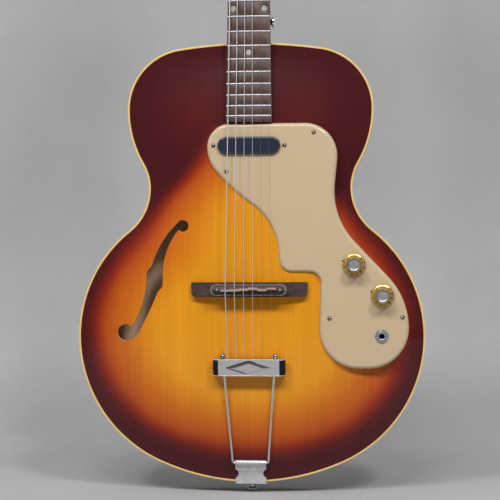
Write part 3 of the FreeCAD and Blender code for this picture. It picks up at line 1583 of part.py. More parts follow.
# Strap buttons and screws
def make_strap_buttons(heel):
    bore = "wood_screw_diameter / 2 + fit_gap"
    levels = [f"strap_button_height * {share}" for share in WAIST_HEIGHT_SHARES]
    seat = "strap_button_height - wood_screw_head_height"
    head = "wood_screw_head_diameter / 2 + fit_gap"
    profile = [
        (bore, "0"), ("strap_button_base / 2", "0"), ("strap_button_waist / 2", levels[0]),
        ("strap_button_waist / 2", levels[1]), ("strap_button_diameter / 2", levels[2]),
        ("strap_button_diameter / 2", "strap_button_height"),
        (head, "strap_button_height"), (head, seat), (bore, seat),
    ]
    master = turned("strap_button", profile)
    end = placed(master.Shape, Placement(V(0, 0, HINGE_FACE_Z - S.fit_gap), Rotation(V(1, 0, 0), 180)))
    side = placed(master.Shape, Placement(heel, Rotation(V(0, 1, 0), 90)))
    wood = next(item for item in SUBPARTS if item.Label == "neck").Shape
    add_shape("strap_buttons", Part.Compound([end, side.cut(wood)]))


def screw_shape(diameter, head_diameter, head_height, length):
    """Dome-headed screw along +Z, head below zero."""
    shank = rod_between(V(0, 0, 0), V(0, 0, length), diameter)
    radius = (head_diameter ** 2 / 4 + head_height ** 2) / (2 * head_height)
    dome = Part.makeSphere(radius, V(0, 0, radius - head_height))
    cap = dome.common(rod_between(V(0, 0, -head_height), V(0, 0, 0), head_diameter))
    return shank.fuse(cap)


def driven(screw, place, heading):
    return placed(screw, Placement(place, Rotation(V(0, 0, 1), heading)))


def make_wood_screws(heel):
    size = (S.wood_screw_diameter, S.wood_screw_head_diameter, S.wood_screw_head_height)
    plain = screw_shape(*size, S.wood_screw_length - S.seat_gap)
    through = screw_shape(*size, END_SCREW_LENGTH - S.seat_gap)
    lift = UPWARD * S.fit_gap
    screws = [driven(plain, place - lift, UPWARD) for place in HINGE_SCREWS]
    screws.append(driven(through, END_SCREW - lift - lift, UPWARD))
    seat = heel + V(S.strap_button_height - S.wood_screw_head_height + S.fit_gap, 0, 0)
    screws.append(driven(through, seat, V(-1, 0, 0)))
    add_shape("wood_screws", Part.Compound(screws))


def make_small_screws():
    size = (S.small_screw_diameter, S.small_screw_head_diameter, S.small_screw_head_height)
    screws = []
    for place in GUARD_SCREWS:
        screw = screw_shape(*size, guard_screw_length(place) - S.seat_gap)
        screws.append(driven(screw, place - INWARD * S.fit_gap, INWARD))
    for place in pickup_screw_places():
        screws.append(driven(screw_shape(*size, pickup_screw_length()), place - INWARD * S.fit_gap, INWARD))
    bite = screw_shape(*size, S.small_screw_bite - S.seat_gap)
    for side in (-1, 1):
        for place in plate_screw_places(side):
            screws.append(placed(driven(bite, place + INWARD * S.fit_gap, -INWARD), HEAD))
    face = screw_shape(*size, S.small_screw_bite + S.cover_thickness - S.seat_gap)
    for place in cover_screw_places():
        seat = place - INWARD * (S.cover_thickness + S.seat_gap + S.fit_gap)
        screws.append(placed(driven(face, seat, INWARD), HEAD))
    add_shape("small_screws", Part.Compound(screws))


# Guard, pickup and controls
GUARD_BACK = GUARD_Y + S.guard_thickness


def pickup_screw_places():
    centre = guard_place(PICKUP_SHARES)
    return [centre + V(side * S.pickup_screw_spacing / 2, 0, 0) for side in (-1, 1)]


def pickup_screw_length():
    return S.guard_thickness + S.pickup_base_thickness + S.small_screw_bite


def guard_face(inset, y):
    points = [guard_place(shares, y) for shares in GUARD_CORNER_SHARES]
    span = BOARD_END_Z - SADDLE.z
    face = rounded_face(points, [shares[2] * span for shares in GUARD_CORNER_SHARES])
    return face.makeOffset2D(-inset) if inset else face


def make_pickguard():
    """Moulded shell with a rolled edge, standing on the arched top."""
    depth = FRONT - GUARD_Y
    shell = guard_face(0, GUARD_Y).extrude(INWARD * depth)
    rims = [edge for edge in shell.Edges if edge.BoundBox.YMax < GUARD_Y + S.fit_gap]
    shell = shell.makeFillet(S.guard_edge_radius, rims)
    hollow = guard_face(S.guard_thickness, GUARD_BACK).extrude(INWARD * depth)
    bosses = [rod_between(p, p + INWARD * depth, S.guard_boss_diameter) for p in GUARD_SCREWS]
    tools = [hollow.cut(bosses), slab(TOP_FACE, -1, -S.seat_gap, S.body_depth)]
    for place in GUARD_SCREWS:
        tools.append(screw_hole(place, INWARD, depth, S.small_screw_diameter))
    for place in pickup_screw_places():
        tools.append(screw_hole(place, INWARD, S.guard_thickness + S.overrun, S.small_screw_diameter))
    gap = 2 * S.seat_gap
    depth = 2 * S.overrun + gap
    tools.append(across_pickup(S.pickup_length + gap, S.pickup_width + gap, GUARD_Y - S.overrun, depth))
    for shares, diameter in (
        (VOLUME_SHARES, S.pot_bushing_diameter),
        (TONE_SHARES, S.pot_bushing_diameter),
        (JACK_SHARES, S.jack_sleeve_diameter),
    ):
        tools.append(screw_hole(guard_place(shares), INWARD, S.guard_thickness + S.overrun, diameter))
    add_shape("pickguard", shell.cut(tools))


def make_pickup():
    top = GUARD_Y - S.pickup_rise
    base = GUARD_BACK + S.seat_gap
    cover = across_pickup(S.pickup_length, S.pickup_width, top, base - top - S.fit_gap)
    rims = [edge for edge in cover.Edges if edge.BoundBox.YMax < top + S.fit_gap]
    cover = cover.makeFillet(S.pickup_edge_radius, rims)
    wall = 2 * S.pickup_wall
    length, width = S.pickup_length - wall, S.pickup_width - wall
    add_shape("pickup_cover", cover.cut(across_pickup(length, width, top + S.pickup_wall, base - top)))
    gap = 2 * S.coil_gap
    coil_top = top + S.pickup_wall + S.coil_gap
    coil = across_pickup(length - gap, width - gap, coil_top, base - coil_top - S.fit_gap)
    add_shape("pickup_coil", coil)
    plate = across_pickup(S.pickup_base_length, S.pickup_width, base, S.pickup_base_thickness)
    holes = [
        screw_hole(place, INWARD, pickup_screw_length() + S.overrun, S.small_screw_diameter)
        for place in pickup_screw_places()
    ]
    centre = guard_place(PICKUP_SHARES, base + S.pickup_base_thickness + S.fit_gap)
    reach = V(S.magnet_length / 2, 0, S.magnet_width / 2)
    magnet = block(centre - reach, centre + reach + INWARD * S.magnet_height)
    add_shape("pickup_base", Part.Compound([plate.cut(holes), magnet]))


def make_knob(name, place):
    spot = Placement(place, FACING)
    bore = "shaft_diameter / 2 + fit_gap"
    top = "knob_gap + knob_height"
    profile = [
        ("knob_recess_diameter / 2", "knob_gap"),
        ("knob_diameter / 2", "knob_gap"),
        ("knob_diameter / 2", "knob_gap + knob_skirt_edge"),
        ("knob_crown_diameter / 2", "knob_gap + knob_skirt_height"),
        ("knob_top_diameter / 2", top),
        ("cap_diameter / 2", top),
        ("cap_diameter / 2", top + " - cap_depth"),
        (bore, top + " - cap_depth"),
        (bore, "knob_gap + knob_recess_height"),
        ("knob_recess_diameter / 2", "knob_gap + knob_recess_height"),
    ]
    keep(turned(name + "_knob", profile, spot), name + "_knob")
    rim = "cap_diameter / 2 - fit_gap"
    seat = top + " - cap_depth + fit_gap"
    dish = [("0", seat), (rim, seat), (rim, top)]
    dish += [("cap_diameter / 2 - cap_dish", top), ("0", top + " - cap_dish")]
    keep(turned(name + "_cap", dish, spot), name + "_cap")
    low = Placement(place + INWARD * (S.guard_thickness + S.pot_depth - S.pot_floor - S.fit_gap), FACING)
    length = "guard_thickness + pot_depth - pot_floor - 2 * fit_gap + knob_gap + knob_height - cap_depth"
    keep(cylinder(name + "_shaft", "shaft_diameter", length, low), name + "_shaft")


def make_controls():
    bore = "shaft_diameter / 2 + fit_gap"
    front = "-guard_thickness - seat_gap"
    back = "-guard_thickness - seat_gap - pot_depth"
    profile = [
        ("0", back), ("pot_diameter / 2", back), ("pot_diameter / 2", front),
        ("pot_bushing_diameter / 2", front), ("pot_bushing_diameter / 2", "pot_bushing_rise"),
        (bore, "pot_bushing_rise"), (bore, back + " + pot_floor"),
        ("0", back + " + pot_floor"),
    ]
    master = turned("potentiometer", profile)
    cases = []
    pointers = []
    for name, shares in (("volume", VOLUME_SHARES), ("tone", TONE_SHARES)):
        place = guard_place(shares)
        make_knob(name, place)
        cases.append(placed(master.Shape, Placement(place, FACING)))
        pointers.append(make_pointer(place))
    add_shape("potentiometers", Part.Compound(cases))
    add_shape("knob_pointers", Part.Compound(pointers))


def make_pointer(place):
    """Washer under the knob with a tapered tongue that reaches past the skirt."""
    depth = INWARD * S.pointer_thickness
    level = -INWARD * (S.pointer_thickness + S.fit_gap)
    ring = Part.makeCylinder(S.knob_recess_diameter / 2, S.pointer_thickness, V(0, 0, 0), INWARD)
    half, tip = S.pointer_width / 2, S.pointer_width / 4
    reach = S.pointer_reach
    tongue = flat_face([V(0, 0, -half), V(reach, 0, -tip), V(reach, 0, tip), V(0, 0, half)]).extrude(depth)
    hole = rod_between(-INWARD * S.overrun, INWARD * S.overrun, S.pot_bushing_diameter + 2 * S.fit_gap)
    shape = ring.fuse(tongue).cut(hole)
    return placed(shape, Placement(place + level, Rotation(V(0, 1, 0), -POINTER_ANGLE)))


def make_jack_contact():
    """Leaf that meets a plug's tip, bent in behind the sleeve and clear of its bore."""
    back = GUARD_BACK + S.seat_gap + S.jack_collar_depth + S.fit_gap
    place = guard_place(JACK_SHARES, back)
    half = V(0, 0, S.jack_spring_width / 2)
    outer, inner = V(S.jack_spring_offset, 0, 0), V(S.jack_spring_offset - S.jack_spring_tip, 0, 0)
    leg = V(S.jack_spring_offset - S.jack_spring_thickness, 0, 0)
    end = INWARD * S.jack_spring_length
    sheet_depth = INWARD * S.jack_spring_thickness
    foot = block(place + inner - half, place + outer + half + sheet_depth)
    post = block(place + leg - half, place + outer + half + end)
    tip = block(place + inner - half + end - sheet_depth, place + outer + half + end)
    return foot.multiFuse([post, tip]).removeSplitter()


def make_jack():
    place = guard_place(JACK_SHARES)
    bore, wall = "jack_bore / 2", "jack_sleeve_diameter / 2"
    front = "-guard_thickness - seat_gap"
    back = front + " - jack_collar_depth"
    profile = [
        (bore, back), ("jack_collar_diameter / 2", back), ("jack_collar_diameter / 2", front), (wall, front),
        (wall, "jack_rise"), (bore, "jack_rise"),
    ]
    sleeve = placed(turned("jack_sleeve", profile).Shape, Placement(place, FACING))
    add_shape("output_jack", Part.Compound([sleeve, make_jack_contact()]))
    hole = rod_between(-INWARD * S.overrun, INWARD * S.overrun, S.jack_sleeve_diameter + 2 * S.fit_gap)
    washer = Part.makeCylinder(S.jack_washer_diameter / 2, S.jack_washer_thickness, V(0, 0, 0), -INWARD)
    washer = washer.cut(hole)
    corner = S.jack_nut_width / math.sqrt(3)
    turns = [math.pi / 3 * step for step in range(6)]
    level = -S.jack_washer_thickness - S.fit_gap
    hexagon = flat_face([V(corner * math.cos(turn), level, corner * math.sin(turn)) for turn in turns])
    nut = hexagon.extrude(-INWARD * S.jack_nut_height).cut(hole)
    add_shape("jack_nut", Part.Compound([washer, nut]), Placement(place - INWARD * S.fit_gap, Rotation()))


# Wires inside the body
def wire_run(points, diameter):
    inner = [S.wire_bend] * (len(points) - 2)
    return tube(rounded_edges(points, [0] + inner + [0], closed=False), diameter)


def make_wiring():
    pot_back = GUARD_BACK + S.seat_gap + S.pot_depth + S.fit_gap
    jack_back = GUARD_BACK + S.seat_gap + S.jack_collar_depth + S.fit_gap
    pickup_back = GUARD_BACK + S.seat_gap + S.pickup_base_thickness + S.fit_gap
    pickup = guard_place(PICKUP_SHARES, pickup_back) + V(S.magnet_length / 2 + S.wire_spacing, 0, 0)
    volume, tone = guard_place(VOLUME_SHARES, pot_back), guard_place(TONE_SHARES, pot_back)
    jack = guard_place(JACK_SHARES, jack_back)
    along = (tone - volume).normalize()
    aside = V(-along.z, 0, along.x)
    level = INWARD * S.wire_drop
    lead_y = FRONT + S.plate_thickness + S.seat_gap + S.wire_diameter / 2
    runs = []
    for hand in (-1, 1):
        shift = V(0, 0, hand * S.wire_spacing / 2)
        low = V(pickup.x, lead_y, pickup.z) + shift
        end = volume - along * S.wire_spacing + aside * (hand * S.wire_spacing)
        runs.append([pickup + shift, low, V(end.x, lead_y, end.z), end])
        lane = aside * (hand * LANE_SHARE * S.pot_diameter)
        start = volume + along * S.wire_spacing + lane
        last = jack + V(-S.jack_bore + hand * S.wire_diameter, 0, hand * S.wire_spacing / 2)
        landing = V(last.x, pot_back, last.z) + level
        runs.append([start, start + level, tone + lane + level, landing, last])
    add_shape("wiring", Part.Compound([wire_run(points, S.wire_diameter) for points in runs]))
    middle = (volume + tone) / 2 + level
    half = along * (S.capacitor_length / 2)
    can = rod_between(middle - half, middle + half, S.capacitor_diameter)
    leads = []
    for pot, heading in ((volume, along), (tone, -along)):
        foot = pot + heading * S.wire_spacing
        leads.append(wire_run([foot, foot + level, middle], S.wire_diameter / 2))
    add_shape("tone_capacitor", can.multiFuse(leads))


def make_all():
    make_top_plate()
    make_back_plate()
    make_rim()
    make_bindings()
    make_linings()
    make_blocks()
    make_tone_bars()
    heel = make_neck()
    make_fingerboard()
    make_nut()
    make_truss_rod()
    make_truss_cover()
    make_tuners()
    make_bushings()
    make_strings()
    make_bridge_base()
    make_bridge_posts()
    make_thumbwheels()
    make_saddle()
    make_hinge()
    make_rods()
    make_crossbar()
    make_rod_nuts()
    make_strap_buttons(heel)
    make_wood_screws(heel)
    make_small_screws()
    make_pickguard()
    make_pickup()
    make_controls()
    make_jack()
    make_wiring()


make_all()
doc.recompute()

# Checks, then one file per sub-part
for item in doc.Objects:
    if "Invalid" in item.State or "Error" in item.State:
        raise ValueError(f"{item.Label}: {item.State}")
for item in SUBPARTS:
    if item.Shape.isNull() or not item.Shape.isValid():
        raise ValueError(f"{item.Label}: bad shape")
os.makedirs("parts", exist_ok=True)
for item in SUBPARTS:
    item.Shape.exportStep(f"parts/{item.Label}.step")
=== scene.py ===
import bmesh
import bpy
import json
import math
from math import atan2, cos, pi, radians, sin
from mathutils import Matrix, Vector
from mathutils.geometry import delaunay_2d_cdt


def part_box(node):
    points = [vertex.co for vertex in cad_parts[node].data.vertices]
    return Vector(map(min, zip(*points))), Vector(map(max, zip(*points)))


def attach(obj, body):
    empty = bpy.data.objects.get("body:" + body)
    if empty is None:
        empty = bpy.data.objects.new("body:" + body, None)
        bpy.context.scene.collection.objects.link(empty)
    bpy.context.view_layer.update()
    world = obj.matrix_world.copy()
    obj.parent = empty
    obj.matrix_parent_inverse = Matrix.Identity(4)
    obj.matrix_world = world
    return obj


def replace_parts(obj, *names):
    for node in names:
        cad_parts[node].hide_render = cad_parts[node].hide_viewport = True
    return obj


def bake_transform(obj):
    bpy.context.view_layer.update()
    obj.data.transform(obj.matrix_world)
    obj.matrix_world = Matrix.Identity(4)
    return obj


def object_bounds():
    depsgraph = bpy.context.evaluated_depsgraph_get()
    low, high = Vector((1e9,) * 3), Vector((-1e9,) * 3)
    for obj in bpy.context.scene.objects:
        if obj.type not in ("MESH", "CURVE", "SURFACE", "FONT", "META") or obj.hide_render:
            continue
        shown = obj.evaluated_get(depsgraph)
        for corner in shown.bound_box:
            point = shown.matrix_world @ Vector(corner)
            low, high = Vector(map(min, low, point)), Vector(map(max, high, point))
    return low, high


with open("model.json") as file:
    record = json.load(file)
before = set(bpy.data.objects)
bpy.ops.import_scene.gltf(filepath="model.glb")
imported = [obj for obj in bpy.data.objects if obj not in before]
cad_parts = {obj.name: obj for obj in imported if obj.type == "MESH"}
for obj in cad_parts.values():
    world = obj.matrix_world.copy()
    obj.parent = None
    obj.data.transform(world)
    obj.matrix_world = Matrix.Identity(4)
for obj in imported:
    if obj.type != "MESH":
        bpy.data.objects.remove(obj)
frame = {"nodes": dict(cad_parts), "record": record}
cad_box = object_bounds()
NODES = frame["nodes"]
MM = 0.001

# Sizes in millimetres, the same as in the part's source
LOW_HALF, WAIST_HALF, HIGH_HALF = 203.2, 119.3, 144.2
LENGTH = 513.8
LOW_Z, WAIST_Z, HIGH_Z = 0.3328 * LENGTH, 0.6695 * LENGTH, 0.8497 * LENGTH
LOW_SHARE, HIGH_SHARE, BOTTOM_LEAN, SHOULDER_LEAN = 0.715, 0.694, 0.31, 0.116
DEPTH, PLATE, TOP_ARCH, BACK_ARCH, LEVEL = 44.5, 4.8, 14.0, 13.0, 9.0
PLATE_INSET = 2.35
FRONT = -DEPTH / 2
SCALE, BODY_FRET, FRETS = 628.65, 14, 20
JOINT_Z, NECK_RISE = LENGTH - 5.2, 14.5
FRET_HEIGHT, ACTION, NUT_LIFT = 1.1, 4.2, 1.0
BRIDGE_HEIGHT, BOARD_RADIUS, BOARD_THICK, OVERHANG = 22.0, 305.0, 6.0, 7.2
NUT_THICK, HEAD_ANGLE = 5.0, 14.0
GAUGES = (1.27, 0.97, 0.71, 0.56, 0.36, 0.28)
LAST_STRING = len(GAUGES) - 1
SETBACK_SHARES = (0.07, 0.05, 0.0, -0.08, 0.02, -0.09)
SADDLE_WIDTH, SADDLE_SETBACK, BRIDGE_POST_X = 13.0, 3.8, 36.5
NUT_SPREAD, SADDLE_SPREAD, TAIL_SPREAD = 35.2, 53.0, 49.0
TUNER_FIRST, TUNER_PITCH, TUNER_SPREAD, WRAP_RISE, WRAP_GAP, POST = 44.0, 39.0, 46.0, 10.0, 0.3, 6.2
HINGE_Z, HINGE_LIFT, TRAPEZE_SHARE, CROSSBAR_LIFT = 23.6, 6.8, 0.51, 9.0
CROSSBAR_HEIGHT, CROSSBAR_WALL, SEAT_GAP, BALL, ROD = 19.4, 1.5, 0.15, 4.2, 3.0
CROSSBAR_WIDTH, CROSSBAR_DEPTH, CROSSBAR_FRONT, CROSSBAR_CORNER = 84.2, 12.0, 6.6, 7.0
DIAMOND = (51.4, 16.6)
F_LENGTH, F_OFFSET, F_RISE = 141.3, 111.8, 7.6
PICKUP_BASE, PICKUP_WIDTH, CONTROL_WIDTH, CUT_MARGIN = 88.0, 20.0, 18.0, 4.0
GUARD_RISE, BASE_HEIGHT, WHEEL_LIFT = 3.2, 9.0, 1.8


# Outline and arch, worked out as in the part's source
def oval_arcs(half, height, lean):
    side = height * (height / half) ** lean
    end = ((half - side) ** 2 + height ** 2 - side ** 2) / (2 * (height - side))
    outward = math.copysign(1, end - side)
    return side, end, atan2(outward * (end - height), outward * (half - side))


def side_arcs():
    corner, bottom, to_corner = oval_arcs(LOW_HALF, LOW_Z, BOTTOM_LEAN)
    shoulder, top, to_top = oval_arcs(HIGH_HALF, LENGTH - HIGH_Z, SHOULDER_LEAN)
    lower = ((LOW_HALF - WAIST_HALF) ** 2 + (WAIST_Z - LOW_Z) ** 2) / (2 * (LOW_HALF - WAIST_HALF))
    upper = ((HIGH_HALF - WAIST_HALF) ** 2 + (HIGH_Z - WAIST_Z) ** 2) / (2 * (HIGH_HALF - WAIST_HALF))
    low_flank, high_flank = LOW_SHARE * lower, HIGH_SHARE * upper
    low_waist, high_waist = lower - low_flank, upper - high_flank
    to_waist = atan2(WAIST_Z - LOW_Z, WAIST_HALF + low_waist - LOW_HALF + low_flank)
    to_upper = atan2(HIGH_Z - WAIST_Z, HIGH_HALF - high_flank - WAIST_HALF - high_waist)
    return [
        (0, bottom, bottom, 1, -pi / 2, -to_corner),
        (LOW_HALF - corner, LOW_Z, corner, 1, -to_corner, 0),
        (LOW_HALF - low_flank, LOW_Z, low_flank, 1, 0, to_waist),
        (WAIST_HALF + low_waist, WAIST_Z, low_waist, -1, to_waist + pi, pi),
        (WAIST_HALF + high_waist, WAIST_Z, high_waist, -1, pi, to_upper),
        (HIGH_HALF - high_flank, HIGH_Z, high_flank, 1, to_upper - pi, 0),
        (HIGH_HALF - shoulder, HIGH_Z, shoulder, 1, 0, to_top),
        (0, LENGTH - top, top, 1, to_top, pi / 2),
    ]


ARCS = side_arcs()


def outline(inset, step):
    """Points round the body, anticlockwise from the bottom, about a step apart."""
    right = []
    for across, up, radius, bulge, start, end in ARCS:
        reach = radius - bulge * inset
        count = max(2, round(abs(end - start) * reach / step))
        for index in range(count):
            angle = start + (end - start) * index / count
            right.append((across + reach * cos(angle), up + reach * sin(angle)))
    return right + [(0.0, LENGTH - inset)] + [(-x, z) for x, z in right[:0:-1]]


def half_width(z, inset):
    for across, up, radius, bulge, start, end in ARCS:
        reach = radius - bulge * inset
        if up + reach * sin(start) <= z <= up + reach * sin(end):
            return across + bulge * math.sqrt(max(reach ** 2 - (z - up) ** 2, 0))
    return 0


def crown_share(x, z):
    along = (z - LEVEL) / (LENGTH - 2 * LEVEL)
    width = half_width(z, LEVEL)
    if not 0 < along < 1 or abs(x) >= width:
        return 0
    rise = (1 - (2 * along - 1) ** 4) * (1 - (x / width) ** 2)
    return rise * rise * (3 - 2 * rise)


def fret_place(number):
    return SCALE * (1 - 2 ** (-number / 12))


def turn_x(degrees):
    return Matrix.Rotation(radians(degrees), 4, "X")


NUT_Z = fret_place(BODY_FRET)
STRING_LIFT = FRET_HEIGHT + ACTION
NECK_ANGLE = math.degrees(math.asin((TOP_ARCH + BRIDGE_HEIGHT - STRING_LIFT - NECK_RISE) / (SCALE - NUT_Z)))
NECK = Matrix.Translation((0, FRONT - NECK_RISE, JOINT_Z)) @ turn_x(-NECK_ANGLE)
HEAD = NECK @ Matrix.Translation((0, BOARD_THICK, NUT_Z + NUT_THICK)) @ turn_x(-HEAD_ANGLE)
SADDLE = NECK @ Vector((0, -STRING_LIFT, NUT_Z - SCALE))
TRAPEZE = TRAPEZE_SHARE * (SADDLE.z - HINGE_Z)
TAIL_PITCH = math.degrees(math.asin((TOP_ARCH + CROSSBAR_LIFT - HINGE_LIFT) / TRAPEZE))
TAIL = Matrix.Translation((0, FRONT - HINGE_LIFT, HINGE_Z)) @ turn_x(TAIL_PITCH)
BOARD_END_Z = (NECK @ Vector((0, 0, NUT_Z - fret_place(FRETS) - OVERHANG))).z


def guard_place(across, along):
    return across * LOW_HALF, SADDLE.z + along * (BOARD_END_Z - SADDLE.z)


VOLUME, TONE, JACK, PICKUP = (
    guard_place(0.597, 0.128),
    guard_place(0.757, -0.059),
    guard_place(0.752, -0.304),
    guard_place(0.0, 0.858),
)


# Node helpers
def material(name):
    made = bpy.data.materials.new(name)
    made.use_nodes = True
    return made, made.node_tree, made.node_tree.nodes["Principled BSDF"]


def put(tree, node, inputs):
    for key, value in inputs.items():
        if isinstance(value, bpy.types.NodeSocket):
            tree.links.new(value, node.inputs[key])
        else:
            node.inputs[key].default_value = value


def wire(tree, kind, inputs, **settings):
    node = tree.nodes.new("ShaderNode" + kind)
    for key, value in settings.items():
        setattr(node, key, value)
    put(tree, node, inputs)
    return node


def calc(tree, operation, first, second=0.0):
    return wire(tree, "Math", {0: first, 1: second}, operation=operation).outputs[0]


def between(tree, value, start, end, low=0.0, high=1.0):
    """Runs from low to high while the value goes from start to end."""
    inputs = {"Value": value, "From Min": start, "From Max": end, "To Min": low, "To Max": high}
    return wire(tree, "MapRange", inputs).outputs["Result"]


def rest_place(tree):
    """Place on the part at rest, in metres."""
    return wire(tree, "TexCoord", {}).outputs["Object"]


def rest_parts(tree):
    return wire(tree, "SeparateXYZ", {"Vector": rest_place(tree)}).outputs


def rest_coordinates(tree, scale):
    return wire(tree, "Mapping", {"Vector": rest_place(tree), "Scale": scale}).outputs["Vector"]


def noise(tree, scale, detail=4.0, roughness=0.55, distortion=0.0):
    """Noise in rest coordinates; scale is how many grains fit in a metre, along X, Y and Z."""
    inputs = {"Vector": rest_coordinates(tree, scale), "Scale": 1.0, "Detail": detail}
    inputs.update({"Roughness": roughness, "Distortion": distortion})
    return wire(tree, "TexNoise", inputs).outputs["Fac"]


def ramp(tree, factor, stops):
    node = wire(tree, "ValToRGB", {"Fac": factor})
    elements = node.color_ramp.elements
    while len(elements) < len(stops):
        elements.new(0.5)
    for element, (place, colour) in zip(elements, stops):
        element.position = place
        element.color = (*colour, 1)
    return node.outputs["Color"]


def spread(tree, factor, low, high):
    return between(tree, factor, 0.0, 1.0, low, high)


def tint(tree, colour, factor, low, high):
    """Multiplies a colour by a grey that runs from low to high."""
    grey = spread(tree, factor, low, high)
    inputs = {"Factor": 1.0, 6: colour, 7: grey}
    return wire(tree, "Mix", inputs, data_type="RGBA", blend_type="MULTIPLY").outputs[2]


def mix(tree, factor, first, second):
    return wire(tree, "Mix", {0: factor, 6: first, 7: second}, data_type="RGBA").outputs[2]


def bump(tree, height, strength, distance):
    inputs = {"Height": height, "Strength": strength, "Distance": distance}
    return wire(tree, "Bump", inputs).outputs["Normal"]


# Materials
BURST_STOPS = [
    (0.0, (0.056, 0.008, 0.011)),
    (0.10, (0.090, 0.011, 0.011)),
    (0.17, (0.165, 0.016, 0.010)),
    (0.23, (0.26, 0.027, 0.008)),
    (0.32, (0.40, 0.066, 0.009)),
    (0.42, (0.48, 0.098, 0.010)),
    (0.55, (0.53, 0.130, 0.010)),
    (0.75, (0.62, 0.200, 0.010)),
    (0.95, (0.70, 0.275, 0.012)),
]
BACK_STOPS = [
    (0.0, (0.024, 0.007, 0.007)),
    (0.2, (0.060, 0.012, 0.009)),
    (0.5, (0.150, 0.034, 0.013)),
    (0.95, (0.260, 0.075, 0.020)),
]


def burst_material(name, stops, grain_scale, grain_low):
    """Shaded lacquer over straight grain; the shade follows the distance from the edge."""
    made, tree, shader = material(name)
    shade = wire(tree, "Attribute", {}, attribute_name="burst").outputs["Fac"]
    soft = spread(tree, noise(tree, (14, 14, 9), 3.0), -0.025, 0.025)
    colour = ramp(tree, calc(tree, "ADD", shade, soft), stops)
    fine = noise(tree, grain_scale, 6.0, 0.7, 0.15)
    broad = noise(tree, (grain_scale[0] / 9, 20, grain_scale[2] / 2), 3.0, 0.6, 0.3)
    colour = tint(tree, colour, fine, grain_low, 2 - grain_low)
    colour = tint(tree, colour, broad, grain_low + 0.06, 1.94 - grain_low)
    put(tree, shader, {"Base Color": colour, "Roughness": 0.4, "Specular IOR Level": 0.05})
    put(tree, shader, {"Coat Weight": 0.35, "Coat Roughness": 0.04})
    wavy = noise(tree, (28, 28, 28), 2.0)
    put(tree, shader, {"Coat Normal": bump(tree, wavy, 0.06, 0.004)})
    return made


def wood_material(name, dark, light, scale, rough, coat=0.0, pores=0.0):
    """Grain that runs along the axis with the smallest scale."""
    made, tree, shader = material(name)
    streaks = noise(tree, scale, 7.0, 0.68, 0.35)
    colour = ramp(tree, streaks, [(0.28, dark), (0.74, light)])
    broad = noise(tree, tuple(value / 8 for value in scale), 2.0)
    colour = tint(tree, colour, broad, 0.72, 1.28)
    put(tree, shader, {"Base Color": colour, "Coat Weight": coat, "Coat Roughness": 0.06})
    put(tree, shader, {"Roughness": spread(tree, streaks, rough - 0.08, rough + 0.1)})
    if pores:
        put(tree, shader, {"Normal": bump(tree, streaks, pores, 0.0006)})
    return made


def plastic_material(name, colour, rough, variation=0.06, coat=0.0, grain=0.0):
    made, tree, shader = material(name)
    cloud = noise(tree, (35, 35, 35), 4.0)
    base = tint(tree, (*colour, 1), cloud, 1 - variation, 1 + variation)
    scuffs = noise(tree, (260, 260, 260), 3.0, 0.7)
    put(tree, shader, {"Base Color": base, "Coat Weight": coat, "Coat Roughness": 0.08})
    put(tree, shader, {"Roughness": spread(tree, scuffs, rough - 0.06, rough + 0.08)})
    if grain:
        put(tree, shader, {"Normal": bump(tree, scuffs, grain, 0.0004)})
    return made


def metal_material(name, colour, rough, tarnish, scratch=(500, 500, 60)):
    made, tree, shader = material(name)
    cloud = noise(tree, (60, 60, 60), 5.0, 0.65)
    dull = tuple(value * 0.62 for value in colour)
    base = mix(tree, spread(tree, cloud, 0.0, tarnish), (*colour, 1), (*dull, 1))
    fine = noise(tree, scratch, 4.0, 0.7)
    put(tree, shader, {"Base Color": base, "Metallic": 1.0})
    put(tree, shader, {"Roughness": spread(tree, fine, rough - 0.05, rough + 0.10)})
    put(tree, shader, {"Normal": bump(tree, fine, 0.05, 0.0003)})
    return made


def satin_material(name, dark, light, metal, rough, scale=150):
    """Half-bright metal: part mirror, part plain colour, with cloudy wear."""
    made, tree, shader = material(name)
    cloud = noise(tree, (scale, scale, scale), 5.0, 0.65)
    base = ramp(tree, cloud, [(0.3, dark), (0.7, light)])
    put(tree, shader, {"Base Color": base, "Metallic": metal})
    put(tree, shader, {"Roughness": spread(tree, noise(tree, (500, 500, 500)), rough - 0.06, rough + 0.08)})
    return made


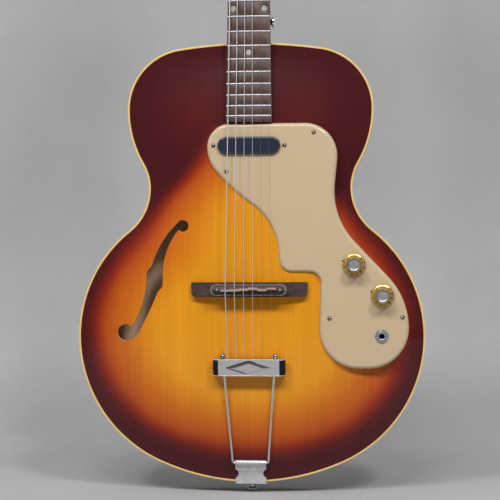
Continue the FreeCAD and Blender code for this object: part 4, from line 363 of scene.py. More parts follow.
def crossbar_material(name):
    """Bright plate with a painted dark reflection on its rounded ends, and a painted shade along the foot of
    the raised diamond.
    """
    made, tree, shader = material(name)
    parts = rest_parts(tree)
    across = calc(tree, "ABSOLUTE", parts["X"])
    top = (TAIL @ Vector((0, -CROSSBAR_FRONT, TRAPEZE + CROSSBAR_HEIGHT))).z * MM
    middle = (TAIL @ Vector((0, -CROSSBAR_FRONT, TRAPEZE + CROSSBAR_HEIGHT / 2))).z * MM
    # Painted reflection: below the top edge, the rounded ends take a dark blue-grey that stands in for the
    # dark surroundings they mirror.
    below = calc(tree, "LESS_THAN", parts["Z"], top - 0.4 * MM)
    end = calc(tree, "MULTIPLY", between(tree, across, 35.0 * MM, 35.5 * MM), below)
    rise = calc(tree, "SUBTRACT", parts["Z"], middle)
    wide = calc(tree, "DIVIDE", across, DIAMOND[0] / 2 * MM)
    tall = calc(tree, "DIVIDE", calc(tree, "ABSOLUTE", rise), DIAMOND[1] / 2 * MM)
    # Painted shade: a dark line along the foot of the raised diamond, on its left-hand side.
    foot = calc(tree, "SUBTRACT", calc(tree, "ADD", wide, tall), 0.99)
    foot_shade = between(tree, calc(tree, "ABSOLUTE", foot), 0.11, 0.03)
    side = between(tree, calc(tree, "SUBTRACT", rise, parts["X"]), -6.0 * MM, 0.0)
    foot_shade = calc(tree, "MULTIPLY", foot_shade, side)
    fine = noise(tree, (60, 700, 700), 4.0, 0.7)
    bright = tint(tree, (0.70, 0.69, 0.69, 1), fine, 0.86, 1.1)
    # Mixes in the painted shade at the diamond's foot.
    foot_shaded = mix(tree, foot_shade, bright, (0.02, 0.018, 0.022, 1))
    # The dark blue-grey mixed in on the ends is the painted reflection.
    put(tree, shader, {"Base Color": mix(tree, end, foot_shaded, (0.022, 0.028, 0.042, 1)), "Metallic": 1.0})
    put(tree, shader, {"Roughness": spread(tree, fine, 0.07, 0.2)})
    put(tree, shader, {"Normal": bump(tree, fine, 0.06, 0.0003)})
    return made


def wound_material(name, colour, turns):
    """Fine windings across the string, as a bump and a tone."""
    made, tree, shader = material(name)
    place = rest_coordinates(tree, (1, 1, 1))
    bands = wire(tree, "TexWave", {"Vector": place, "Scale": turns, "Distortion": 0.0}, bands_direction="Z")
    base = tint(tree, (*colour, 1), bands.outputs["Fac"], 0.75, 1.1)
    put(tree, shader, {"Base Color": base, "Metallic": 0.6, "Roughness": 0.4})
    put(tree, shader, {"Normal": bump(tree, bands.outputs["Fac"], 0.12, 0.0002)})
    return made


def saddle_material(name):
    """Dark hardwood, rubbed pale along the crest and the outline, with a painted shade that darkens the tail
    side.
    """
    made, tree, shader = material(name)
    streaks = noise(tree, (10, 330, 330), 7.0, 0.68, 0.35)
    colour = ramp(tree, streaks, [(0.28, (0.040, 0.030, 0.029)), (0.74, (0.150, 0.110, 0.105))])
    parts = rest_parts(tree)
    ragged = spread(tree, noise(tree, (300, 300, 300), 3.0), -1.2 * MM, 1.2 * MM)
    height = calc(tree, "SUBTRACT", parts["Z"], (SADDLE.z - SADDLE_SETBACK) * MM)
    # Painted shade: the flank below the crest, on the tail side, fades to near black.
    shade = between(tree, height, -1.0 * MM, 0.4 * MM)
    colour = mix(tree, shade, (0.010, 0.008, 0.009, 1), colour)
    reach = calc(tree, "SUBTRACT", calc(tree, "ABSOLUTE", parts["X"]), BRIDGE_POST_X * MM)
    flat = wire(tree, "CombineXYZ", {"X": calc(tree, "MAXIMUM", reach, 0.0), "Y": height}).outputs["Vector"]
    edge = wire(tree, "VectorMath", {0: flat}, operation="LENGTH").outputs["Value"]
    edge_wear = between(tree, calc(tree, "ADD", edge, ragged), 5.6 * MM, 6.4 * MM)
    colour = mix(tree, edge_wear, colour, (0.20, 0.16, 0.13, 1))
    rubbed = between(tree, calc(tree, "ADD", parts["Y"], ragged), -55.6 * MM, -57.2 * MM)
    worn = tint(tree, (0.40, 0.26, 0.23, 1), streaks, 0.75, 1.25)
    colour = mix(tree, rubbed, colour, worn)
    put(tree, shader, {"Base Color": colour, "Roughness": spread(tree, streaks, 0.36, 0.54)})
    put(tree, shader, {"Normal": bump(tree, streaks, 0.2, 0.0006)})
    return made


def pearl_material(name):
    made, tree, shader = material(name)
    swirl = noise(tree, (220, 220, 220), 3.0, 0.6, 1.4)
    stops = [(0.3, (0.20, 0.21, 0.19)), (0.55, (0.40, 0.42, 0.38)), (0.75, (0.56, 0.57, 0.53))]
    colour = ramp(tree, swirl, stops)
    put(tree, shader, {"Base Color": colour, "Roughness": 0.18, "Coat Weight": 0.6, "Sheen Weight": 0.1})
    return made


# Stops, grain scale, lowest grain tone
BURSTS = {
    "sunburst_top": (BURST_STOPS, (520, 40, 5), 0.82),
    "sunburst_back": (BACK_STOPS, (160, 60, 6), 0.80),
}
# Dark and light colour, grain scale, roughness, coat, pores
WOODS = {
    "side_lacquer": ((0.020, 0.006, 0.006), (0.075, 0.016, 0.010), (60, 30, 12), 0.34, 1.0),
    "inner_wood": ((0.78, 0.52, 0.32), (0.94, 0.69, 0.46), (240, 60, 6), 0.62),
    "hole_edge": ((0.36, 0.24, 0.15), (0.66, 0.50, 0.36), (120, 120, 20), 0.6),
    "neck_wood": ((0.035, 0.010, 0.008), (0.120, 0.030, 0.015), (160, 160, 7), 0.32, 1.0),
    "rosewood": ((0.020, 0.011, 0.009), (0.105, 0.048, 0.034), (330, 330, 9), 0.48, 0.0, 0.25),
    "bridge_rosewood": ((0.018, 0.010, 0.010), (0.088, 0.046, 0.040), (10, 330, 330), 0.45, 0.15, 0.2),
}
# Colour, roughness, variation, coat, grain
PLASTICS = {
    "binding": ((0.78, 0.53, 0.17), 0.3, 0.12, 0.2),
    "bone": ((0.72, 0.66, 0.50), 0.32, 0.10),
    "black_plastic": ((0.012, 0.012, 0.014), 0.2, 0.2, 0.5),
    "guard_plastic": ((0.545, 0.412, 0.262), 0.30, 0.025, 0.25),
    # Black plastic with a blue tint that is a painted reflection.
    "navy_plastic": ((0.015, 0.021, 0.046), 0.3, 0.15, 0.2),
    "cloth_wire": ((0.05, 0.045, 0.04), 0.7, 0.3, 0.0, 0.4),
    "capacitor_body": ((0.40, 0.13, 0.05), 0.35, 0.12),
    "dial_mark": ((0.03, 0.022, 0.015), 0.4, 0.1),
    "dial_worn": ((0.24, 0.14, 0.045), 0.4, 0.2),
}
# Colour, roughness, tarnish
METALS = {
    "rod_steel": ((0.46, 0.46, 0.46), 0.34, 0.5),
    "nickel": ((0.74, 0.72, 0.69), 0.14, 0.35),
    "plain_steel": ((0.42, 0.39, 0.34), 0.24, 0.3),
    "brass": ((0.62, 0.42, 0.16), 0.28, 0.4),
    "coil_wire": ((0.40, 0.16, 0.06), 0.4, 0.4),
}
# Dark and light colour, share of metal, roughness, cloud scale
SATINS = {
    "fret_nickel": ((0.46, 0.44, 0.48), (0.58, 0.56, 0.60), 0.7, 0.34, 60),
    "gold_plastic": ((0.40, 0.245, 0.065), (0.66, 0.45, 0.14), 0.75, 0.3),
    # Darker copy of the cap metal for the wall of the dished cap: a painted shade.
    "cap_wall": ((0.22, 0.22, 0.22), (0.32, 0.32, 0.32), 1.0, 0.36),
    "cap_metal": ((0.36, 0.36, 0.36), (0.50, 0.49, 0.48), 0.6, 0.3),
    "pointer_metal": ((0.05, 0.03, 0.02), (0.12, 0.07, 0.04), 0.4, 0.4),
    "jack_nickel": ((0.28, 0.30, 0.34), (0.42, 0.44, 0.48), 0.65, 0.26),
    "screw_nickel": ((0.22, 0.21, 0.21), (0.36, 0.35, 0.34), 1.0, 0.2, 400),
    # Dark metal for the ball nuts, with a blue tint that is a painted reflection.
    "nut_nickel": ((0.20, 0.21, 0.26), (0.30, 0.31, 0.37), 1.0, 0.14, 400),
    "hinge_nickel": ((0.52, 0.52, 0.54), (0.70, 0.69, 0.70), 0.5, 0.24, 90),
}
MATERIALS = {}
for make, table in (
    (burst_material, BURSTS), (wood_material, WOODS), (plastic_material, PLASTICS),
    (metal_material, METALS), (satin_material, SATINS), (pearl_material, {"pearl": ()}),
    (wound_material, {"wound_steel": ((0.66, 0.61, 0.60), 900)}),
    (crossbar_material, {"crossbar_nickel": ()}), (saddle_material, {"saddle_rosewood": ()}),
):
    for name, values in table.items():
        MATERIALS[name] = make(name, *values)

# Nodes whose look differs from their slot's
SPECIAL = {
    "rim": "side_lacquer", "bridge_base": "bridge_rosewood", "bridge_saddle": "saddle_rosewood",
    "bridge_posts": "nickel", "knob_pointers": "pointer_metal", "output_jack": "jack_nickel",
    "jack_nut": "jack_nickel", "tailpiece_crossbar": "crossbar_nickel", "tailpiece_hinge": "hinge_nickel",
}
for entry in frame["record"]["subparts"]:
    item = NODES[entry["node"]]
    item.data.materials.clear()
    item.data.materials.append(MATERIALS[SPECIAL.get(entry["node"], entry["material_slot"])])


# Mesh helpers
def add_object(name, data):
    made = bpy.data.objects.new(name, data)
    bpy.context.scene.collection.objects.link(made)
    return made


def add_mesh(name, points, faces, materials, indices=None, smooth=True):
    data = bpy.data.meshes.new(name)
    data.from_pydata([(x * MM, y * MM, z * MM) for x, y, z in points], [], faces)
    for entry in materials:
        data.materials.append(MATERIALS[entry])
    if indices:
        data.polygons.foreach_set("material_index", indices)
    data.polygons.foreach_set("use_smooth", [smooth] * len(faces))
    data.update()
    return add_object(name, data)


def as_it_stands(item):
    """Points and loops of an object with its modifiers."""
    data = bpy.data.meshes.new_from_object(item.evaluated_get(bpy.context.evaluated_depsgraph_get()))
    points = [vertex.co.copy() for vertex in data.vertices]
    loops = [list(face.vertices) for face in data.polygons]
    bpy.data.meshes.remove(data)
    return points, loops


def facing(x, y, z):
    """Frame at a place, with its Z axis towards the front."""
    return Matrix.Translation((x, y, z)) @ turn_x(90)


def around(spot, radius, turn, height):
    """Point at a turn and a height about the spot's Z axis."""
    return tuple(spot @ Vector((radius * cos(turn), radius * sin(turn), height)))


def corners(points):
    """Lowest and highest corner of the box round some points."""
    low = Vector([min(point[axis] for point in points) for axis in range(3)])
    high = Vector([max(point[axis] for point in points) for axis in range(3)])
    return low, high


def band(low, high, count):
    """Faces between two rings of points, given where each ring starts."""
    pairs = [(step, (step + 1) % count) for step in range(count)]
    return [[low + step, low + after, high + after, high + step] for step, after in pairs]


def islands(item):
    """Groups of a node's joined points, in millimetres."""
    keys = [tuple(round(value / MM, 2) for value in vertex.co) for vertex in item.data.vertices]
    owner = {key: key for key in keys}

    def leader(key):
        while owner[key] != key:
            key = owner[key]
        return key

    for face in item.data.polygons:
        first = leader(keys[face.vertices[0]])
        for index in face.vertices:
            owner[leader(keys[index])] = first
    groups = {}
    for key in owner:
        groups.setdefault(leader(key), []).append(Vector(key))
    return list(groups.values())


def inside(polygon, x, z):
    odd = False
    last_x, last_z = polygon[-1]
    for here_x, here_z in polygon:
        if (here_z > z) != (last_z > z):
            crossing = (last_x - here_x) * (z - here_z) / (last_z - here_z) + here_x
            odd = odd != (x < crossing)
        last_x, last_z = here_x, here_z
    return odd


def circle(centre, radius, count=40):
    turns = [2 * pi * index / count for index in range(count)]
    return [(centre[0] + radius * cos(turn), centre[1] + radius * sin(turn)) for turn in turns]


def slot_outline(first, second, width, count=14):
    """A slot with round ends, as a polygon."""
    lean = atan2(second[1] - first[1], second[0] - first[0])
    points = []
    for centre, start in ((second, lean - pi / 2), (first, lean + pi / 2)):
        for index in range(count + 1):
            turn = start + pi * index / count
            points.append((centre[0] + width / 2 * cos(turn), centre[1] + width / 2 * sin(turn)))
    return points


def arc_through(first, middle, last, count=12):
    """Points of the arc through three points, without the last."""
    (ax, az), (bx, bz), (cx, cz) = first, middle, last
    twice = 2 * (ax * (bz - cz) + bx * (cz - az) + cx * (az - bz))
    squares = [x * x + z * z for x, z in (first, middle, last)]
    x = (squares[0] * (bz - cz) + squares[1] * (cz - az) + squares[2] * (az - bz)) / twice
    z = (squares[0] * (cx - bx) + squares[1] * (ax - cx) + squares[2] * (bx - ax)) / twice
    start, mid, end = (atan2(pz - z, px - x) for px, pz in (first, middle, last))
    way = 1 if (mid - start) % (2 * pi) < (end - start) % (2 * pi) else -1
    sweep = way * ((way * (end - start)) % (2 * pi))
    radius = math.hypot(ax - x, az - z)
    turns = [start + sweep * index / count for index in range(count)]
    return [(x + radius * cos(turn), z + radius * sin(turn)) for turn in turns]


F_ARCS = (
    ((0.219, 0.497), (0.074, 0.331), (-0.027, 0.112)),
    ((-0.069, -0.005), (-0.098, -0.175), (-0.198, -0.395)),
    ((-0.246, -0.507), (-0.180, -0.483), (-0.136, -0.440)),
    ((-0.136, -0.440), (-0.048, -0.269), (0.027, -0.102)),
    ((0.071, 0.009), (0.090, 0.198), (0.201, 0.412)),
)
F_AFTER = {
    0: ((-0.027, 0.112), (-0.069, 0.064)),
    1: ((-0.198, -0.395),),
    3: ((0.027, -0.102), (0.068, -0.057)),
    4: ((0.201, 0.412),),
}


def f_hole_outlines():
    def spot(share):
        return -F_OFFSET + share[0] * F_LENGTH, SADDLE.z + F_RISE + share[1] * F_LENGTH

    stem = []
    for index, arc in enumerate(F_ARCS):
        stem += arc_through(*(spot(share) for share in arc))
        stem += [spot(share) for share in F_AFTER.get(index, ())]
    upper = circle(spot((0.237, 0.445)), 0.048 * F_LENGTH)
    lower = circle(spot((-0.246, -0.437)), 0.070 * F_LENGTH)
    return [stem, upper, lower]


# Shading over the top in millimetres: how deep, where along the body, and over what reach
TAIL_DEPTH, TAIL_REACH = 20, 190
WAIST_LIFT, WAIST_SPOT, WAIST_REACH = 6, 300, 26
BOUT_SLOPE, BOUT_START, BOUT_REACH = 1.05, 330, 7
GLOW_LIFT, GLOW_SPOT, GLOW_REACH = 9, (62, 430), (34, 42)


def burst_value(x, z, edge):
    """Distance from the edge in tenths of a metre, held back at the tail and in the upper bout."""
    near = min(math.hypot(x - px, z - pz) for px, pz in edge)
    low = TAIL_DEPTH * max(0, 1 - z / TAIL_REACH)
    waist = WAIST_LIFT * math.exp(-((z - WAIST_SPOT) / WAIST_REACH) ** 2)
    high = BOUT_SLOPE * BOUT_REACH * math.log1p(math.exp((z - BOUT_START) / BOUT_REACH))
    across = (abs(x) - GLOW_SPOT[0]) / GLOW_REACH[0]
    along = (z - GLOW_SPOT[1]) / GLOW_REACH[1]
    glow = GLOW_LIFT * math.exp(-across ** 2 - along ** 2)
    return (max(0, near - low - high + waist) + glow) / 100


BORDER_STEP, NET_STEP, SHADE_STEP = 4.0, 5.0, 3.0


def plate_net(holes):
    """Points and triangles of a flat plate, cut round its outline and holes."""
    border = outline(PLATE_INSET, BORDER_STEP)
    points, edges = [], []
    for loop in [border] + holes:
        first = len(points)
        points += [Vector(place) for place in loop]
        edges += [(first + index, first + (index + 1) % len(loop)) for index in range(len(loop))]
    for row in range(1, int(LENGTH / NET_STEP)):
        z = row * NET_STEP
        width = half_width(z, PLATE_INSET) - NET_STEP / 2
        count = int(2 * width / NET_STEP)
        for column in range(count + 1):
            x = -width + 2 * width * column / count
            if not any(inside(hole, x, z) for hole in holes):
                points.append(Vector((x, z)))
    net, _, triangles, _, _, _ = delaunay_2d_cdt(points, edges, [], 0, 1e-4)
    kept = []
    for triangle in triangles:
        x = sum(net[index].x for index in triangle) / 3
        z = sum(net[index].y for index in triangle) / 3
        if inside(border, x, z) and not any(inside(hole, x, z) for hole in holes):
            kept.append(list(triangle))
    return net, kept


def open_edges(triangles):
    """Edges that have a triangle on one side only."""
    rim = {}
    for face in triangles:
        for index in range(3):
            pair = (face[index], face[(index + 1) % 3])
            if pair[::-1] in rim:
                del rim[pair[::-1]]
            else:
                rim[pair] = True
    return list(rim)


def add_plate(name, side, arch, holes, outer):
    """Arched plate of even thickness, with its shading kept as a value at each point."""
    net, kept = plate_net(holes)
    if side > 0:
        kept = [face[::-1] for face in kept]
    count = len(net)
    places = [(p.x, side * (DEPTH / 2 + arch * crown_share(p.x, p.y)), p.y) for p in net]
    places += [(x, y - side * PLATE, z) for x, y, z in places]
    faces = kept + [[count + index for index in face[::-1]] for face in kept]
    indices = [0] * len(kept) + [1] * len(kept)
    for first, second in open_edges(kept):
        base = len(places)
        places += [places[first], places[second], places[count + second], places[count + first]]
        faces.append([base + 1, base, base + 3, base + 2])
        indices.append(2)
    made = add_mesh(name, places, faces, [outer, "inner_wood", "hole_edge"], indices)
    edge = outline(0, SHADE_STEP)
    shades = [burst_value(p.x, p.y, edge) for p in net]
    shades += [0.0] * (len(places) - count)
    made.data.attributes.new("burst", "FLOAT", "POINT").data.foreach_set("value", shades)
    return made


def add_body_plates():
    half = (PICKUP_BASE - PICKUP_WIDTH) / 2
    control = CONTROL_WIDTH + CUT_MARGIN
    holes = f_hole_outlines()
    holes.append(slot_outline(VOLUME, TONE, control))
    holes.append(slot_outline(TONE, JACK, control))
    ends = [(PICKUP[0] + side * half, PICKUP[1]) for side in (-1, 1)]
    holes.append(slot_outline(*ends, PICKUP_WIDTH + CUT_MARGIN))
    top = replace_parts(add_plate("arched_top", -1, TOP_ARCH, holes, "sunburst_top"), "top_plate")
    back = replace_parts(add_plate("arched_back", 1, BACK_ARCH, [], "sunburst_back"), "back_plate")
    for piece, slot in ((top, "sunburst_top"), (back, "sunburst_back")):
        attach(piece, "guitar")


# Strings, in three stretches: from the ball end halfway to the saddle, on to the saddle, and over the neck
# round the post
def tube(points, radius, sides=10):
    """Ring of points at each place along a path, square to it."""
    rings = []
    normal = None
    for index, point in enumerate(points):
        ahead = points[min(index + 1, len(points) - 1)] - points[max(index - 1, 0)]
        ahead.normalize()
        normal = ahead.orthogonal() if normal is None else normal - ahead * ahead.dot(normal)
        normal.normalize()
        across = ahead.cross(normal)
        turns = [2 * pi * step / sides for step in range(sides)]
        rings.append([point + (normal * cos(t) + across * sin(t)) * radius for t in turns])
    places = [tuple(place) for ring in rings for place in ring]
    faces = []
    for row in range(len(rings) - 1):
        faces += band(row * sides, (row + 1) * sides, sides)
    faces.append(list(range(sides))[::-1])
    faces.append(list(range((len(rings) - 1) * sides, len(rings) * sides)))
    return places, faces


def straight(start, end, pieces):
    return [start.lerp(end, index / pieces) for index in range(pieces + 1)]


def spread_place(width, index):
    return width * (index / LAST_STRING - 1 / 2)


def crown_drop(x):
    return BOARD_RADIUS - math.sqrt(BOARD_RADIUS ** 2 - x * x)


def string_points(index):
    x = spread_place(NUT_SPREAD, index)
    nut = NECK @ Vector((x, crown_drop(x) - FRET_HEIGHT - NUT_LIFT, NUT_Z))
    x = spread_place(SADDLE_SPREAD, index)
    setback = SADDLE_SETBACK + SETBACK_SHARES[index] * SADDLE_WIDTH
    saddle = NECK @ Vector((x, crown_drop(x) - STRING_LIFT, NUT_Z - SCALE - setback))
    top = TRAPEZE + CROSSBAR_HEIGHT - CROSSBAR_WALL - SEAT_GAP - BALL / 2
    ball = TAIL @ Vector((spread_place(TAIL_SPREAD, index), -ROD / 2, top))
    return ball, saddle, nut


WRAP_TURN, WRAP_STEPS = pi * 3 / 2, 30


def post_wrap(index, nut):
    """Three quarters of a turn round the tuner's post."""
    side = -1 if index < len(GAUGES) / 2 else 1
    step = index if side < 0 else LAST_STRING - index
    centre = HEAD @ Vector((side * TUNER_SPREAD / 2, -WRAP_RISE, TUNER_FIRST + TUNER_PITCH * step))
    radius = (POST / 2 + WRAP_GAP + GAUGES[index] / 2) / cos(radians(HEAD_ANGLE))
    ahead = centre - nut
    span = ahead.length
    ahead.normalize()
    inner = Vector((-side, 0, 0))
    inner = (inner - ahead * ahead.dot(inner)).normalized()
    lean = math.asin(radius / span)
    heading = ahead * cos(lean) + inner * sin(lean)
    touch = nut + heading * (span * cos(lean))
    spoke = (centre - touch).normalized()
    turns = [WRAP_TURN * count / WRAP_STEPS for count in range(WRAP_STEPS + 1)]
    return [centre - spoke * (radius * cos(t)) + heading * (radius * sin(t)) for t in turns]


BALL_ROWS = ((-1.5, 1.2), (-1.5, 1.9), (-0.9, 2.1), (0, 1.7), (0.9, 2.1), (1.5, 1.9), (1.5, 1.2))
BALL_SIDES = 16


def ball_points(centre):
    """A small turned ball end, as a ringed barrel."""
    places, faces = [], []
    for across, radius in BALL_ROWS:
        ring = circle((centre.y, centre.z), radius, BALL_SIDES)
        places += [(centre.x + across, y, z) for y, z in ring]
    for row in range(len(BALL_ROWS) - 1):
        faces += band(row * BALL_SIDES, (row + 1) * BALL_SIDES, BALL_SIDES)
    return places, faces


def gather(name, parts, entry):
    places, faces = [], []
    for points, loops in parts:
        base = len(places)
        places += points
        faces += [[base + index for index in loop] for loop in loops]
    return add_mesh(name, places, faces, [entry])


TAIL_STEPS, NECK_STEPS = 8, 60


def add_strings():
    for kind, node, chosen in (
        ("wound", "wound_strings", range(4)),
        ("plain", "plain_strings", range(4, 6)),
    ):
        tail, after, speaking = [], [], []
        for index in chosen:
            ball, saddle, nut = string_points(index)
            radius = GAUGES[index] / 2
            middle = ball.lerp(saddle, 0.5)
            tail += [tube(straight(ball, middle, TAIL_STEPS), radius), ball_points(ball)]
            after.append(tube(straight(middle, saddle, TAIL_STEPS), radius))
            speaking.append(tube(straight(saddle, nut, NECK_STEPS) + post_wrap(index, nut), radius))
        entry = kind + "_steel"
        tail = gather(f"{kind}_string_tails", tail, entry)
        after = gather(f"{kind}_string_ends", after, entry)
        speaking = gather(f"{kind}_string_lengths", speaking, entry)
        ball, saddle, nut = (point * MM for point in string_points(chosen[0]))
        middle = ball.lerp(saddle, 0.5)
        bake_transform(tail)
        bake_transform(after)
        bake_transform(speaking)
        for piece in (tail, after, speaking):
            sharpen(piece, 50)
            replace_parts(piece, node)


# Turned pieces
KNURL_STEPS = 4


def lathe(profile, spot, count=64, knurl=0.0):
    """Surface of a closed profile of radius and height pairs, turned about the spot's Z axis."""
    places, faces, rings = [], [], []
    for radius, height in profile:
        steps = count if radius else 1
        rings.append((len(places), steps))
        for step in range(steps):
            turn = 2 * pi * step / count
            cut = step % KNURL_STEPS >= KNURL_STEPS / 2 and radius == profile[0][0]
            reach = radius - (knurl if cut else 0)
            places.append(around(spot, reach, turn, height))
    for (low, low_steps), (high, high_steps) in zip(rings, rings[1:] + rings[:1]):
        for step in range(count):
            following = (step + 1) % count
            loop = [low + step % low_steps, low + following % low_steps]
            loop += [high + following % high_steps, high + step % high_steps]
            loop = list(dict.fromkeys(loop))
            if len(loop) > 2:
                faces.append(loop)
    return places, faces


def sharpen(item, degrees=35):
    item.data.set_sharp_from_angle(angle=radians(degrees))
    return item


KNOB_SKIRT = ((12.95, 2.8), (12.2, 3.05), (11.4, 3.4), (10.6, 3.92), (9.95, 4.75), (9.5, 6.0), (9.3, 7.4))
KNOB_PROFILE = (
    (7.2, 1.4), (12.9, 1.4), (13.2, 1.7), (13.2, 2.5), *KNOB_SKIRT, (9.2, 9.0), (8.95, 12.0), (8.75, 15.2),
    (8.7, 16.2), (8.55, 16.6), (8.3, 16.75), (8.08, 16.6), (8.0, 16.2), (8.0, 14.85), (3.1, 14.85),
    (3.1, 5.8), (7.2, 5.8),
)
CAP_PROFILE = (
    (0, 14.9), (7.3, 14.9), (7.3, 16.85), (7.22, 17.1), (7.05, 17.2), (6.88, 17.1), (6.75, 16.8),
    (6.6, 16.35), (6.4, 16.0), (6.1, 15.75), (5.5, 15.5), (4.6, 15.28), (3.4, 15.1), (1.8, 15.0), (0, 14.96),
)
# Rows that make the cap's wall, which gets the darker metal as a painted shade
CAP_WALL = range(6, 9)
GUARD_Y = FRONT - TOP_ARCH - GUARD_RISE
FINE_STEPS = 96
# Numbers on the skirts: sizes, radius of the foot and of the middle, and angles in degrees
NUMERAL_SIZE, NUMERAL_DEPTH, NUMERAL_WEIGHT, NUMERAL_LIFT = 4.8, 0.16, 0.1, 0.05
NUMERAL_FOOT, NUMERAL_MIDDLE = 12.8, 11.0
DIAL_START, DIAL_STEP, UNWORN = 75, 30, (1, 2, 3, 4)


def skirt_height(radius):
    for (outer, low), (inner, high) in zip(KNOB_SKIRT, KNOB_SKIRT[1:]):
        if inner <= radius <= outer:
            return low + (high - low) * (outer - radius) / (outer - inner)
    return KNOB_SKIRT[0][1] if radius > KNOB_SKIRT[0][0] else KNOB_SKIRT[-1][1]


def numeral_mesh(text, size):
    """Flat outline of a numeral, as points and loops."""
    curve = bpy.data.curves.new("numeral", "FONT")
    curve.body, curve.size, curve.align_x = text, size, "CENTER"
    curve.extrude, curve.offset = NUMERAL_DEPTH, NUMERAL_WEIGHT
    item = add_object("numeral", curve)
    points, loops = as_it_stands(item)
    bpy.data.objects.remove(item)
    bpy.data.curves.remove(curve)
    return points, loops


def add_numerals(name, body, spot):
    """Numbers round the skirt; those under the thumb's side are worn."""
    places, faces, indices = [], [], []
    for number in range(1, 11):
        points, loops = numeral_mesh(str(number), NUMERAL_SIZE)
        middle = radians(DIAL_START - DIAL_STEP * number)
        base = len(places)
        for point in points:
            radius = NUMERAL_FOOT - point.y
            turn = middle + point.x / NUMERAL_MIDDLE
            height = skirt_height(radius) + point.z + NUMERAL_LIFT
            places.append(around(spot, radius, turn, height))
        faces += [[base + index for index in loop] for loop in loops]
        indices += [0 if number in UNWORN else 1] * len(loops)
    made = add_mesh(name + "_numerals", places, faces, ["dial_mark", "dial_worn"], indices, False)
    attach(made, body)


def add_knobs():
    for name, (x, z) in (("volume", VOLUME), ("tone", TONE)):
        spot = facing(x, GUARD_Y, z)
        skirt = sharpen(add_mesh(name + "_skirt", *lathe(KNOB_PROFILE, spot, FINE_STEPS), ["gold_plastic"]))
        places, faces = lathe(CAP_PROFILE, spot, FINE_STEPS)
        # The wall's rows take the darker metal, a painted shade in the dish.
        indices = [1 if index // FINE_STEPS in CAP_WALL else 0 for index in range(len(faces))]
        cap = sharpen(add_mesh(name + "_dish", places, faces, ["cap_metal", "cap_wall"], indices), 60)
        for piece, node, slot in ((skirt, "_knob", "gold_plastic"), (cap, "_cap", "cap_metal")):
            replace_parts(piece, name + node)
            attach(piece, name)
        add_numerals(name, name, spot)


WHEEL_BACK = FRONT - TOP_ARCH - BASE_HEIGHT - WHEEL_LIFT
WHEEL_PROFILE = ((7.2, 0.35), (7.2, 2.15), (6.8, 2.5), (2.06, 2.5), (2.06, 0.0), (6.8, 0.0))


def add_thumbwheels():
    for side, name in ((-1, "bass"), (1, "treble")):
        spot = facing(side * BRIDGE_POST_X, WHEEL_BACK, SADDLE.z - SADDLE_SETBACK)
        made = add_mesh("knurled_wheel_" + name, *lathe(WHEEL_PROFILE, spot, 192, 0.4), ["brass"])
        sharpen(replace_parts(made, "thumbwheel_" + name), 25)
        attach(made, "wheel_" + name)


# Angles of the ball's foot and of its sweep, in degrees
NUT_FOOT, NUT_SWEEP, NUT_STEPS = -52, 142, 14


def add_ball_nuts():
    """Round nuts on the rod ends, each where its node has one."""
    parts = []
    for group in islands(NODES["trapeze_nuts"]):
        local = [TAIL.inverted() @ point for point in group]
        low, high = corners(local)
        radius, height = (high.x - low.x) / 2, high.z - low.z
        spot = TAIL @ Matrix.Translation(((low.x + high.x) / 2, (low.y + high.y) / 2, low.z))
        turns = [radians(NUT_FOOT + NUT_SWEEP * step / NUT_STEPS) for step in range(NUT_STEPS + 1)]
        ball = [(radius * cos(turn), height - radius + radius * sin(turn)) for turn in turns]
        profile = ((0, 0), (ball[0][0], 0), *ball[:-1], (0, height))
        parts.append(lathe(profile, spot, 32))
    made = sharpen(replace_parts(gather("ball_nuts", parts, "nut_nickel"), "trapeze_nuts"), 50)
    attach(made, "trapeze")


JACK_WASHER = ((4.85, 0.06), (7.6, 0.06), (7.8, 0.25), (7.8, 0.5), (7.65, 0.72), (7.35, 0.82), (4.85, 0.82))
JACK_LIP = (
    (3.2, 2.0), (4.74, 2.0), (4.74, 3.0), (4.6, 3.22), (4.25, 3.34), (3.75, 3.3), (3.4, 3.12), (3.2, 2.8),
)
HEX_PROFILE = ((4.8, 0.84), (6.35, 0.84), (6.35, 2.0), (6.15, 2.6), (5.3, 2.66), (4.8, 2.4))
HEX_CORNERED, HEX_TURN = (1, 2), 0.3


def hex_nut(spot):
    """Nut with six flats below a round chamfer."""
    places, faces = [], []
    for row, (reach, height) in enumerate(HEX_PROFILE):
        for step in range(FINE_STEPS):
            turn = 2 * pi * step / FINE_STEPS
            off = (turn + HEX_TURN) % (pi / 3) - pi / 6
            radius = reach / cos(off) if row in HEX_CORNERED else reach
            places.append(around(spot, radius, turn, height))
        faces += band(row * FINE_STEPS, (row + 1) % len(HEX_PROFILE) * FINE_STEPS, FINE_STEPS)
    return places, faces


def add_jack_front():
    """Rounded washer, a hexagon nut with a chamfered face, and the socket's lip."""
    spot = facing(JACK[0], GUARD_Y, JACK[1])
    parts = [lathe(JACK_WASHER, spot, FINE_STEPS), hex_nut(spot), lathe(JACK_LIP, spot, FINE_STEPS)]
    made = sharpen(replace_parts(gather("jack_hex_nut", parts, "jack_nickel"), "jack_nut"), 30)
    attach(made, "guitar")


